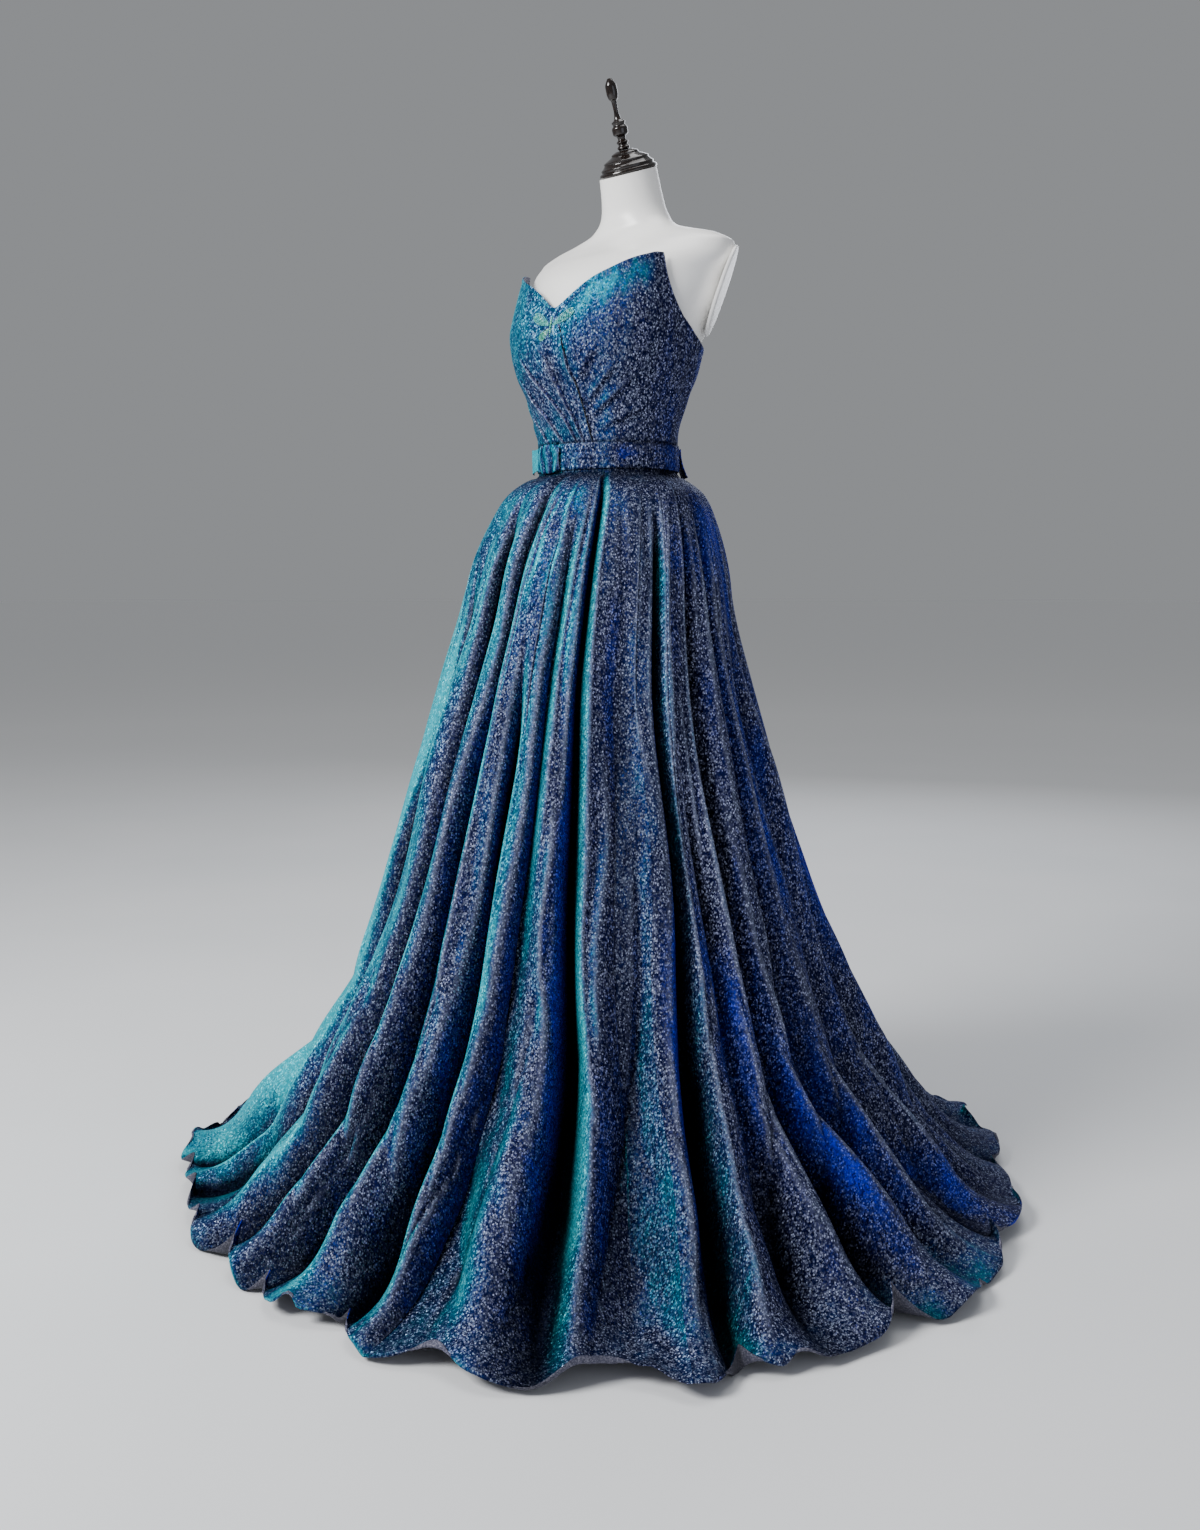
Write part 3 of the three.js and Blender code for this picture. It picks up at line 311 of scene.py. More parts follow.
def through(xs, ys, x):
    """Smooth curve through the points of a table, with no overshoot between them."""
    xs = np.asarray(xs, float)
    ys = np.asarray(ys, float)
    x = np.clip(np.asarray(x, float), xs[0], xs[-1])
    gap = np.diff(xs)
    slope = np.diff(ys) / gap
    inner = np.where(slope[:-1] * slope[1:] > 0,
                     2 * slope[:-1] * slope[1:] / (slope[:-1] + slope[1:] + 1e-12), 0)
    tangent = np.concatenate([[slope[0]], inner, [slope[-1]]])
    k = np.clip(np.searchsorted(xs, x, side="right") - 1, 0, len(gap) - 1)
    t = (x - xs[k]) / gap[k]
    return ((1 + 2 * t) * (1 - t) ** 2 * ys[k] + t * (1 - t) ** 2 * gap[k] * tangent[k]
            + t * t * (3 - 2 * t) * ys[k + 1] + t * t * (t - 1) * gap[k] * tangent[k + 1])


def columns_at(table, z):
    """What a table of sections gives at the height z, column by column."""
    return [through(table[:, 0], table[:, k], z) for k in range(1, table.shape[1])]


def oval(angle, side, front, back, square):
    """Oval section: squareness 2 is an ellipse and more is squarer."""
    turn = np.radians(angle)
    across = np.sin(turn)
    along = np.cos(turn)
    power = 2 / square
    x = side * np.sign(across) * np.abs(across) ** power
    y = -np.where(along > 0, front, back) * np.sign(along) * np.abs(along) ** power
    return x, y


# ---- meshes ----
def grid_normals(grid, ring):
    if ring:
        round_way = np.roll(grid, -1, 0) - np.roll(grid, 1, 0)
    else:
        round_way = np.gradient(grid, axis=0)
    normals = np.cross(np.gradient(grid, axis=1), round_way)
    return normals / np.maximum(np.linalg.norm(normals, axis=2, keepdims=True), 1e-9)


def finish_piece(name, mesh, materials, sharp, indices=None):
    """Gives a mesh its finishes; edges that turn by more than sharp degrees stay crisp."""
    for finish in materials:
        mesh.materials.append(finish)
    mesh.polygons.foreach_set("use_smooth", np.ones(len(mesh.polygons), bool))
    if indices is not None:
        mesh.polygons.foreach_set("material_index", indices)
    mesh.set_sharp_from_angle(angle=math.radians(sharp))
    mesh.validate()
    return put_in_scene(name + "_made", mesh)


def new_piece(name, points, faces, materials, indices=None, sharp=40):
    mesh = bpy.data.meshes.new(name)
    mesh.from_pydata((np.asarray(points) * MM).tolist(), [], faces)
    return finish_piece(name, mesh, materials, sharp, indices)


def mark(piece, name, values):
    layer = piece.data.attributes.new(name, "FLOAT", "POINT")
    layer.data.foreach_set("value", np.asarray(values, np.float32).ravel())


# How far the cloth's colour turns from cobalt towards teal. The turn is painted light: teal painted on the
# sides that face the key light's way, cobalt painted on the shaded side.
PAINTED_LIGHT_SIDE = (-0.735, -0.661, 0.15)  # direction that the sides with painted teal light face
EVEN_TURN = 0.46  # where the cloth faces neither way
FACING_TURN = 0.38  # more painted teal light where the cloth faces that way
FACING_POWER = 1.8
FLANK_TURN = 0.12  # more painted teal light on the right flank of each fold
# On the wearer's left the folds' flanks get painted cobalt shade instead.
COBALT_FLANK = 0.45
COBALT_MIDDLE = 88
COBALT_REACH = 34
INSIDE_TURN = 0.6
CREST_FROM = 0.03  # bend, per mm, from which a painted highlight lies on a fold's edge
CREST_FULL = 0.13
INSIDE_LOWEST = 0.05


def wall_faces(columns, rows, ring):
    """Faces between two grids of points: outside, rims and inside, and how many are inside."""
    count = columns * rows
    at = np.arange(count).reshape(columns, rows)
    here, after = (at, np.roll(at, -1, 0)) if ring else (at[:-1], at[1:])
    outside = np.stack([here[:, :-1], here[:, 1:], after[:, 1:], after[:, :-1]], -1).reshape(-1, 4)
    rims = [(here[:, 0], after[:, 0]), (after[:, -1], here[:, -1])]
    if not ring:
        rims += [(at[0, 1:], at[0, :-1]), (at[-1, :-1], at[-1, 1:])]
    walls = [np.stack([a, b, b + count, a + count], -1) for a, b in rims]
    return np.concatenate([outside, *walls, outside[:, ::-1] + count]), len(outside)


def fold_crests(outer, normals, ring):
    """How sharply the cloth bends outwards at each point, from 0 to 1."""
    before, after = np.roll(outer, 1, 0), np.roll(outer, -1, 0)
    step = np.linalg.norm(after - before, axis=2) / 2
    bend = -np.sum((after + before - 2 * outer) * normals, axis=2) / np.maximum(step, 0.5) ** 2
    if not ring:
        bend[0] = bend[1]
        bend[-1] = bend[-2]
    return np.clip((bend - CREST_FROM) / (CREST_FULL - CREST_FROM), 0, 1)


def cloth_piece(name, outer, materials, ring=False, fold=0.0, painted_sheen_turn=0.0):
    """Thin closed wall of cloth. outer[i, j] is its outside, i round the body and j down it.
    fold is the painted shade at each point, deepest between two folds; the last argument adds to its
    colour's turn to teal: painted teal sheen, or painted cobalt shade where it is minus."""
    shape = outer.shape[:2]
    fold = np.broadcast_to(fold, shape)
    painted_sheen_turn = np.broadcast_to(painted_sheen_turn, shape)
    normals = grid_normals(outer, ring)
    if np.mean(normals[..., 0] * outer[..., 0] + normals[..., 1] * outer[..., 1]) < 0:
        outer, fold, painted_sheen_turn = outer[::-1], fold[::-1], painted_sheen_turn[::-1]
        normals = grid_normals(outer, ring)
    outer = outer.copy()
    outer[..., 2] = np.maximum(outer[..., 2], CLOTH_WALL)
    inner = outer - normals * CLOTH_WALL
    inner[..., 2] = np.maximum(inner[..., 2], INSIDE_LOWEST)
    faces, inside_count = wall_faces(*shape, ring)
    indices = np.zeros(len(faces), np.int32)
    indices[-inside_count:] = len(materials) - 1
    points = np.concatenate([outer.reshape(-1, 3), inner.reshape(-1, 3)])
    piece = new_piece(name, points, faces.tolist(), materials, indices)
    turn = np.arctan2(outer[..., 0], -outer[..., 1])
    flank = -(normals[..., 0] * np.cos(turn) + normals[..., 1] * np.sin(turn))
    faced = normals @ np.array(PAINTED_LIGHT_SIDE)
    faced = np.sign(faced) * np.abs(faced) ** FACING_POWER
    on_left = hump(np.degrees(turn) - COBALT_MIDDLE, COBALT_REACH)
    # Painted light: teal where the cloth faces the key light's way and on each fold's right flank, painted
    # cobalt shade on the flanks at the wearer's left, plus the painted sheen passed in.
    hue_and_painted_light = EVEN_TURN + FACING_TURN * faced + (FLANK_TURN - COBALT_FLANK * on_left) * flank + painted_sheen_turn
    # How sharply each point bends outwards; the finish paints a highlight there.
    crest = fold_crests(outer, normals, ring)
    # The finish reads these: the colour's painted light, the painted shade between folds, and the bends
    # that get a painted highlight.
    mark(piece, "hue_and_painted_light", np.concatenate([hue_and_painted_light, hue_and_painted_light * INSIDE_TURN]))
    mark(piece, "fold", np.concatenate([fold, fold]))
    mark(piece, "crest", np.concatenate([crest, crest * 0]))
    return piece


# ---- finishes ----
# Sizes in mm of the patterns that the finishes show.
FLECK = 2.0  # the film is slit 0.4 mm wide; its flecks are drawn coarser so that they show
WEAVE = 1.6  # plain weave of the lame, drawn coarser too
YARN = 2.2  # threads of its wrong side, drawn coarser too
SANDING = 1.5
WOOD_GRAIN = 1.2  # between the lines along a turning's axis
ORANGE_PEEL = 2.5
GLASS_BEAD = 3.0
# How much the streaks, the painted highlight on the folds' edges and the single flecks turn the lame's
# colour.
STREAK_TURN = 0.5
CREST_TURN = 0.1
FLECK_TURN = 0.12
LIT_POWER = 3.55  # painted glints: most flecks stay dark, some are painted grey and a handful bright, as if few faced the light
# Painted highlight along the folds' edges.
CREST_LIGHT = 0.14
# Painted shade deep between the folds, on the cloth and on its wrong side.
VALLEY_SHADE = 0.97
REVERSE_SHADE = 0.8

MINT = [(0.0, "#2a7f80"), (0.4, "#62bcae"), (0.75, "#46a8b8"), (1.0, "#bdeee6")]
GREEN = [(0.0, "#1a6a4c"), (0.5, "#46a48c"), (0.8, "#84cbb2"), (1.0, "#c2f0d8")]
SKY = [(0.0, "#3585bd"), (0.5, "#64b6dd"), (0.8, "#96d8ea"), (1.0, "#dcf5ff")]


def add(tree, kind, sockets=None, links=None, steps=(), **settings):
    """Adds a node, sets its settings and sockets, and links others into it: a link comes from a
    socket, or from a node's first one. steps are the places and colours of a band of colours."""
    node = tree.nodes.new("ShaderNode" + kind)
    for key, value in settings.items():
        setattr(node, key, value)
    for key, value in (sockets or {}).items():
        node.inputs[key].default_value = value
    for key, source in (links or {}).items():
        socket = source.outputs[0] if isinstance(source, bpy.types.Node) else source
        tree.links.new(socket, node.inputs[key])
    for _ in steps[2:]:
        node.color_ramp.elements.new(0.5)
    for k, (place, code) in enumerate(steps):
        node.color_ramp.elements[k].position = place
        node.color_ramp.elements[k].color = linear_colour(code)
    return node


def new_finish(name):
    """Empty material, its node tree and the place of a point on the piece, in metres."""
    finish = bpy.data.materials.new(name)
    finish.use_nodes = True
    tree = finish.node_tree
    tree.nodes.clear()
    return finish, tree, add(tree, "TexCoord").outputs["Object"]


def metallised_lame(name, turn_to_teal, bright):
    """Metallised lame: polyester woven with slit metallised film, which breaks the light into grains.
    The film's colour runs from cobalt through violet grey to teal with the way that the cloth faces: the
    teal is painted light and the cobalt painted shade, and the finish also paints glints on the flecks,
    highlights on the folds' edges and shade between the folds."""
    finish, tree, place = new_finish(name)
    fleck_place = add(tree, "Mapping", {"Scale": (1, 1, 0.7)}, {"Vector": place})
    flecks = add(tree, "TexVoronoi", {"Scale": 1000 / FLECK}, {"Vector": fleck_place})
    parts = add(tree, "SeparateColor", links={"Color": flecks.outputs["Color"]})
    # Streaks along the folds where the film lies turned, some 30 mm wide and 250 mm long.
    streak_place = add(tree, "Mapping", {"Scale": (1, 1, 0.12)}, {"Vector": place})
    streaks = add(tree, "TexNoise", {"Scale": 30.0, "Detail": 4.0, "Roughness": 0.6},
                  {"Vector": streak_place})
    # The piece's painted light: its colour's turn, the painted shade between folds and the bends where a
    # highlight is painted.
    hue_and_painted_light, fold, crest = (add(tree, "Attribute", attribute_name=layer).outputs["Fac"]
                         for layer in ("hue_and_painted_light", "fold", "crest"))
    drift = add(tree, "Math", {1: STREAK_TURN, 2: turn_to_teal - STREAK_TURN / 2},
                {0: streaks}, operation="MULTIPLY_ADD")
    turned = add(tree, "Math", links={0: hue_and_painted_light, 1: drift}, operation="ADD")
    edged = add(tree, "Math", {1: CREST_TURN}, {0: crest, 2: turned},
                operation="MULTIPLY_ADD")
    grain = add(tree, "Math", {1: FLECK_TURN}, {0: parts.outputs["Green"], 2: edged},
                operation="MULTIPLY_ADD")
    film = add(tree, "ValToRGB", links={"Fac": grain}, steps=[
        (0.05, "#03109a"), (0.19, "#040f5e"), (0.33, "#050b36"), (0.50, "#070c2e"),
        (0.62, "#081c50"), (0.73, "#06365e"), (0.84, "#065f7c"), (0.97, "#12b2c4"),
    ])
    # Colours of the painted glints; below, a few flecks are painted bright and most stay dark.
    glint = add(tree, "ValToRGB", links={"Fac": grain}, steps=[
        (0.05, "#3b57ff"), (0.22, "#8296f6"), (0.38, "#c6cdf4"), (0.56, "#c6d4f4"),
        (0.68, "#9ccaec"), (0.80, "#5cc4d6"), (0.93, "#8aecf2"),
    ])
    lit = add(tree, "Math", {1: LIT_POWER}, {0: parts.outputs["Red"]}, operation="POWER")
    speck = add(tree, "Math", {1: bright}, {0: lit}, operation="MULTIPLY")
    dot = add(tree, "MapRange", {"From Min": 0.2, "From Max": 0.6, "To Min": 1.0,
                                           "To Max": 0.3}, {"Value": flecks.outputs["Distance"]})
    round_speck = add(tree, "Math", links={0: speck, 1: dot}, operation="MULTIPLY")
    # Painted highlight along the folds' edges, added to the painted glints.
    edge_light = add(tree, "Math", {1: CREST_LIGHT}, {0: crest, 2: round_speck},
                     operation="MULTIPLY_ADD", use_clamp=True)
    flecked = add(tree, "Mix", links={"Factor": edge_light, 6: film, 7: glint},
                  data_type="RGBA")
    # Painted shade: near black deep between the folds.
    shade = add(tree, "Math", {1: -VALLEY_SHADE, 2: 1.0}, {0: fold},
                operation="MULTIPLY_ADD", use_clamp=True)
    deep = add(tree, "Mix", {6: linear_colour("#01020a")},
               {"Factor": shade, 7: flecked.outputs[2]}, data_type="RGBA")
    # Each fleck lies at its own small tilt on the weave.
    tilt = add(tree, "VectorMath", {1: (0.5, 0.5, 0.5)}, {0: flecks.outputs["Color"]},
               operation="SUBTRACT")
    lean = add(tree, "VectorMath", {"Scale": 0.85}, {0: tilt}, operation="SCALE")
    weave = add(tree, "TexNoise", {"Scale": 1000 / WEAVE, "Detail": 1.0}, {"Vector": place})
    woven = add(tree, "Bump", {"Strength": 0.25, "Distance": 0.0006}, {"Height": weave})
    leaned = add(tree, "VectorMath", links={0: woven, 1: lean}, operation="ADD")
    normal = add(tree, "VectorMath", links={0: leaned}, operation="NORMALIZE")
    rough = add(tree, "MapRange", {"To Min": 0.35, "To Max": 0.65},
                {"Value": parts.outputs["Blue"]})
    shader = add(tree, "BsdfPrincipled",
                 {"Metallic": 0.5, "Specular IOR Level": 0.1,
                  "Specular Tint": linear_colour("#8a9cc8")},
                 {"Base Color": deep.outputs[2], "Roughness": rough, "Normal": normal})
    add(tree, "OutputMaterial", links={"Surface": shader})
    return finish


def cloth_back(name):
    """Wrong side of the lame: plain polyester yarn, matt and pale, with little of the film."""
    finish, tree, place = new_finish(name)
    fold = add(tree, "Attribute", attribute_name="fold").outputs["Fac"]
    threads = add(tree, "TexNoise", {"Scale": 1000 / YARN, "Detail": 2.0},
                  {"Vector": place})
    yarn = add(tree, "ValToRGB", links={"Fac": threads},
               steps=[(0.3, "#26273c"), (0.5, "#47485e"), (0.7, "#82808f")])
    # Painted shade deep between the folds, as on the outside.
    shade = add(tree, "Math", {1: -REVERSE_SHADE, 2: 1.0}, {0: fold},
                operation="MULTIPLY_ADD", use_clamp=True)
    deep = add(tree, "Mix", {6: linear_colour("#0a0a12")}, {"Factor": shade, 7: yarn},
               data_type="RGBA")
    woven = add(tree, "Bump", {"Strength": 0.3, "Distance": 0.0005}, {"Height": threads})
    shader = add(tree, "BsdfPrincipled", {"Roughness": 0.75},
                 {"Base Color": deep.outputs[2], "Normal": woven})
    add(tree, "OutputMaterial", links={"Surface": shader})
    return finish


def moulded_shell(name):
    """Glass-fibre shell, moulded, sanded and sprayed white: even and half gloss, with faint
    unevenness left by the sanding."""
    finish, tree, place = new_finish(name)
    cloud = add(tree, "TexNoise", {"Scale": 9.0, "Detail": 3.0}, {"Vector": place})
    colour = add(tree, "ValToRGB", links={"Fac": cloud},
                 steps=[(0.3, "#f0efec"), (0.7, "#f8f7f5")])
    rough = add(tree, "MapRange", {"To Min": 0.3, "To Max": 0.42}, {"Value": cloud})
    fine = add(tree, "TexNoise", {"Scale": 1000 / SANDING, "Detail": 1.0},
               {"Vector": place})
    skin = add(tree, "Bump", {"Strength": 0.06, "Distance": 0.0003}, {"Height": fine})
    shader = add(tree, "BsdfPrincipled", {"Coat Weight": 0.25, "Coat Roughness": 0.2},
                 {"Base Color": colour, "Roughness": rough, "Normal": skin})
    add(tree, "OutputMaterial", links={"Surface": shader})
    return finish


def stained_beech(name):
    """Beech turned on a lathe, stained near black and French polished: fine rings along the grain
    under a deep gloss."""
    finish, tree, place = new_finish(name)
    along = add(tree, "Mapping", {"Scale": (1, 1, 0.12)}, {"Vector": place})
    grain = add(tree, "TexNoise", {"Scale": 1000 / WOOD_GRAIN, "Detail": 3.0},
                {"Vector": along})
    colour = add(tree, "ValToRGB", links={"Fac": grain},
                 steps=[(0.3, "#0a0605"), (0.55, "#150d0a"), (0.75, "#2a1c14")])
    rough = add(tree, "MapRange", {"To Min": 0.12, "To Max": 0.24}, {"Value": grain})
    lines = add(tree, "Bump", {"Strength": 0.08, "Distance": 0.0003}, {"Height": grain})
    shader = add(tree, "BsdfPrincipled",
                 {"Coat Weight": 0.4, "Coat Roughness": 0.06, "Specular IOR Level": 0.4},
                 {"Base Color": colour, "Roughness": rough, "Normal": lines})
    add(tree, "OutputMaterial", links={"Surface": shader})
    return finish


def enamelled_steel(name):
    """Steel, spun and powder enamelled black: even with a slight orange peel."""
    finish, tree, place = new_finish(name)
    peel = add(tree, "TexNoise", {"Scale": 1000 / ORANGE_PEEL, "Detail": 2.0},
               {"Vector": place})
    dust = add(tree, "TexNoise", {"Scale": 14.0, "Detail": 4.0}, {"Vector": place})
    colour = add(tree, "ValToRGB", links={"Fac": dust},
                 steps=[(0.35, "#1b1b1d"), (0.7, "#262729")])
    rough = add(tree, "MapRange", {"To Min": 0.28, "To Max": 0.42}, {"Value": dust})
    skin = add(tree, "Bump", {"Strength": 0.12, "Distance": 0.0004}, {"Height": peel})
    shader = add(tree, "BsdfPrincipled",
                 links={"Base Color": colour, "Roughness": rough, "Normal": skin})
    add(tree, "OutputMaterial", links={"Surface": shader})
    return finish


def pressed_glass(name, shades):
    """Pressed glass beads with a lustre coat: clear colour that differs a little from bead to bead."""
    finish, tree, place = new_finish(name)
    beads = add(tree, "TexVoronoi", {"Scale": 1000 / GLASS_BEAD}, {"Vector": place})
    parts = add(tree, "SeparateColor", links={"Color": beads.outputs["Color"]})
    colour = add(tree, "ValToRGB", links={"Fac": parts.outputs["Red"]}, steps=shades)
    rough = add(tree, "MapRange", {"To Min": 0.08, "To Max": 0.25},
                {"Value": parts.outputs["Green"]})
    shader = add(tree, "BsdfPrincipled",
                 {"Coat Weight": 0.6, "Coat Roughness": 0.05, "IOR": 1.52, "Metallic": 0.15},
                 {"Base Color": colour, "Roughness": rough})
    add(tree, "OutputMaterial", links={"Surface": shader})
    return finish


def seamless_paper(name):
    """Studio paper rolled out on the floor: matt, pale and even."""
    finish, tree, place = new_finish(name)
    cloud = add(tree, "TexNoise", {"Scale": 1.5, "Detail": 2.0}, {"Vector": place})
    near = add(tree, "ValToRGB", links={"Fac": cloud},
               steps=[(0.3, "#e0e2e4"), (0.7, "#e5e6e8")])
    # Far off, past the lamps, the floor is as light as the room.
    away = add(tree, "VectorMath", links={0: place}, operation="LENGTH")
    far = add(tree, "MapRange", {"From Min": 3.0, "From Max": 8.0},
              {"Value": away.outputs["Value"]})
    paled = add(tree, "Mix", {7: linear_colour("#fefefe")}, {"Factor": far, 6: near},
                data_type="RGBA")
    shader = add(tree, "BsdfPrincipled", {"Roughness": 0.85},
                 {"Base Color": paled.outputs[2]})
    add(tree, "OutputMaterial", links={"Surface": shader})
    return finish


# ---- bodice ----
MM_A_DEGREE = 2.1  # round the bodice
PLEAT_RISE = 1.25
RIDGE_RISE = 1.6
TAPE_RISE = 0.9
# Painted shade above the belt and beside each pleat.
BELT_SHADE = 0.65
PLEAT_SHADE = 0.28
BODICE_ROWS = 110
BODICE_PANELS = [
    # name, columns, draped, side that it lies on, columns of points
    ("bodice_front_right", DRAPED_COLUMNS, True, 1, 230),
    ("bodice_front_left", CUP_COLUMNS, False, 1, 120),
    ("bodice_back_left", BACK_COLUMNS, False, 1, 60),
    ("bodice_back_right", BACK_COLUMNS, False, -1, 60),
]


def bodice_surface(angle, z):
    x, y = oval(angle, *columns_at(BODICE_SECTIONS, z))
    return np.stack([x, y, z + 0 * x], -1)


def top_edge(angle):
    """Height of the bodice's top edge."""
    return through(NECKLINE[:, 0], NECKLINE[:, 1], np.abs(angle))


def pleat_edge(points, z):
    """Angle of a pleat's edge at z, and the heights of its top and its foot."""
    line = np.array(points[::-1], float)
    return through(line[:, 1], line[:, 0], z), line[-1, 1], line[0, 1]


def pleat_height(angle, z):
    """Rise of the draped cloth: high at each pleat's edge and running out behind it."""
    rise = np.zeros_like(angle)
    for points, height, reach in PLEATS:
        edge, top, foot = pleat_edge(points, z)
        gap = edge - angle
        fade = smooth_step(z, top, top - 60) * smooth_step(z, foot, foot + 26)
        back = np.exp(-np.maximum(gap, 0) / reach) * smooth_step(gap, -1.3, 0.7)
        rise += PLEAT_RISE * height * fade * back
    return rise


def drag_height(angle, z):
    """Soft ridges of the drag on the cloth, each with a hollow along one side."""
    rise = np.zeros_like(angle)
    for (a0, z0), (a1, z1), height, width in DRAG_RIDGES:
        way = np.array([(a1 - a0) * MM_A_DEGREE, z1 - z0])
        long_ = np.hypot(*way)
        way = way / long_
        px = (angle - a0) * MM_A_DEGREE
        pz = z - z0
        along = (px * way[0] + pz * way[1]) / long_
        off = (-px * way[1] + pz * way[0]) / (width * MM_A_DEGREE)
        fade = smooth_step(along, 0, 0.3) * smooth_step(along, 1, 0.6)
        rise += RIDGE_RISE * height * fade * (hump(off, 1) - 0.6 * hump(off + 1.5, 1))
    return rise


def bodice_grid(columns, draped, count, flip):
    place = np.linspace(0, len(columns) - 1, count)
    steps = np.arange(len(columns))
    top = through(steps, columns[:, 0], place)
    waist = through(steps, columns[:, 1], place)
    share = np.linspace(0, 1, BODICE_ROWS)[None, ::-1]
    edge = top_edge(top)[:, None]
    angle = flip * (waist[:, None] + (top - waist)[:, None] * share)
    z = WAIST_SEAM + (edge - WAIST_SEAM) * share
    rise = drag_height(angle, z) * smooth_step(z, BELT_TOP - 2, BELT_TOP + 34)
    if draped:
        rise = rise + pleat_height(angle, z)
    # The top edge is turned over a narrow tape, so it stands a little proud of a stitched groove.
    below = edge - z
    rise = rise + TAPE_RISE * smooth_step(below, 9, 5) - 0.5 * hump(below - 8.5, 1.6)
    base = bodice_surface(angle, z)
    normals = grid_normals(base, False)
    outward = np.sign(np.sum(normals[..., :2] * base[..., :2], -1).mean())
    return base + normals * outward * rise[..., None], angle, z


def bodice_colour(angle, z, draped):
    """Painted shade at each point, above the belt and beside the pleats, and its colour's turn to teal:
    painted teal sheen, and painted cobalt shade where it is minus.
    """
    below = top_edge(angle) - z
    on_cup = smooth_step(angle, 4, 20) * smooth_step(angle, 74, 58)
    ragged = 6 * np.sin(np.radians(angle) * 23) + 4 * np.sin(np.radians(angle) * 41 + z / 9)
    # Painted teal sheen on the cups and at the wearer's left side, and painted cobalt shade just right of
    # the front.
    painted_sheen_turn = (0.25 * on_cup * hump(below - 24 + ragged, 26) - 0.14 * hump(angle + 16, 26, z - 1270, 55)
            + 0.1 * hump(angle - 104, 24))
    # Painted shade above the belt's upper edge, and beside each pleat.
    fold = BELT_SHADE * hump(z - BELT_TOP - 1.5, 3.5)
    for points, _, _ in PLEATS if draped else ():
        edge, top, _ = pleat_edge(points, z)
        near = hump(angle - edge - 1.4, 2.6)
        fold = np.maximum(fold, PLEAT_SHADE * near * smooth_step(z, top, top - 70))
    return fold, painted_sheen_turn


def build_bodice(cloths):
    pieces = []
    for name, columns, draped, flip, count in BODICE_PANELS:
        grid, angle, z = bodice_grid(columns, draped, count, flip)
        fold, painted_sheen_turn = bodice_colour(angle, z, draped)
        pieces.append(cloth_piece(name, grid, cloths, fold=fold, painted_sheen_turn=painted_sheen_turn))
    return pieces


# ---- skirt ----
FULL_NOTCH = 24  # mm that the edge runs in at a whole notch
# From where to where, as shares of the way down, the cloth comes to lie on the floor, its edge
# waves, the edge curls up, and the notches begin and end.
LAID = (0.85, 0.985)
EDGE = (0.86, 1.0)
CURL = (0.94, 1.0)
NOTCH_BEGINS = (0.78, 0.9)
NOTCH_ENDS = (1.03, 0.95)
NOTCH_DEEP = 13
HEM_RUN_MOST = 45
# Painted shade in the dents and the notches, under the belt, and on the side away from the key light below
# the belt.
DENT_SHADE = 0.55
NOTCH_SHADE = 0.75
UNDER_BELT_SHADE = 0.7
SIDE_SHADE = 0.6


def skirt_profile(v):
    steps = np.arange(len(SKIRT_SECTIONS))
    place = np.clip(v, 0, 1) * steps[-1]
    return [through(steps, SKIRT_SECTIONS[:, k], place) for k in range(5)]


def fold_direction(v):
    """The way out of the cloth at v, as shares outwards and upwards."""
    step = 0.25 / (len(SKIRT_SECTIONS) - 1)
    z0, side0, deep0 = skirt_profile(v - step)[:3]
    z1, side1, deep1 = skirt_profile(v + step)[:3]
    run = (side1 + deep1 - side0 - deep0) / 2
    drop = z0 - z1
    long_ = np.hypot(run, drop) + 1e-9
    return drop / long_, run / long_


def valley_angle(row, v, turns):
    bend = row[..., 1] - (row[..., 0] + row[..., 2]) / 2
    return row[..., 0] + (row[..., 2] - row[..., 0]) * v + 4 * bend * v * (1 - v) + 360 * turns


def drape_swell(angle, z):
    """Slow swell of the cloth between its folds, in mm, that keeps them from being alike."""
    turn = np.radians(angle)
    return (4.6 * np.sin(5 * turn + z / 160 + 0.6) + 4.6 * np.sin(13 * turn - z / 95 + 1.9)
            + 3.4 * np.sin(19 * turn + z / 75 + 0.3 + 2 * np.sin(3 * turn)))


def drape_wander(angle, z):
    """How a fold's line wanders to and fro on its way down, from -1 to 1."""
    turn = np.radians(angle)
    return 0.55 * np.sin(z / 120 + 9 * turn) + 0.45 * np.sin(z / 67 + 4 * turn + 1.4)


def crease_depth(angle, z):
    """Small soft creases between and on the main folds, deeper low down."""
    depth = np.zeros_like(angle)
    for a0, z0, a1, z1, deep, width in SKIRT_CREASES:
        share = np.clip((z0 - z) / (z0 - z1), 0, 1)
        line = a0 + (a1 - a0) * share + 0.7 * np.sin(share * 9 + a0)
        end = 0.3 * (z0 - z1)
        fade = smooth_step(z, z0 + 10, z0 - end) * smooth_step(z, z1 - 10, z1 + end)
        depth += deep * fade * hump(degrees_from(angle, line), width)
    return depth * (1 + 1.3 * smooth_step(z, 900, 350))


def floor_crumples(angle, z):
    """Dents in the lower skirt, in mm, where it bears on the floor, and the painted shade in them."""
    turn = np.radians(angle)
    first = np.abs(np.sin(10.5 * turn + z / 75 + 1.3 * np.sin(4 * turn)))
    second = np.abs(np.sin(18.5 * turn - z / 130 + 0.9 + 1.9 * np.sin(3 * turn)))
    third = np.abs(np.sin(31 * turn + z / 60 + 2.6 * np.sin(5 * turn)))
    low = smooth_step(z, 520, 110)
    dents = 11 * (first - 0.62) + 18 * (np.sqrt(second) - 0.76) + 4.5 * (third - 0.62)
    return dents * low, (1 - second) ** 3 * low


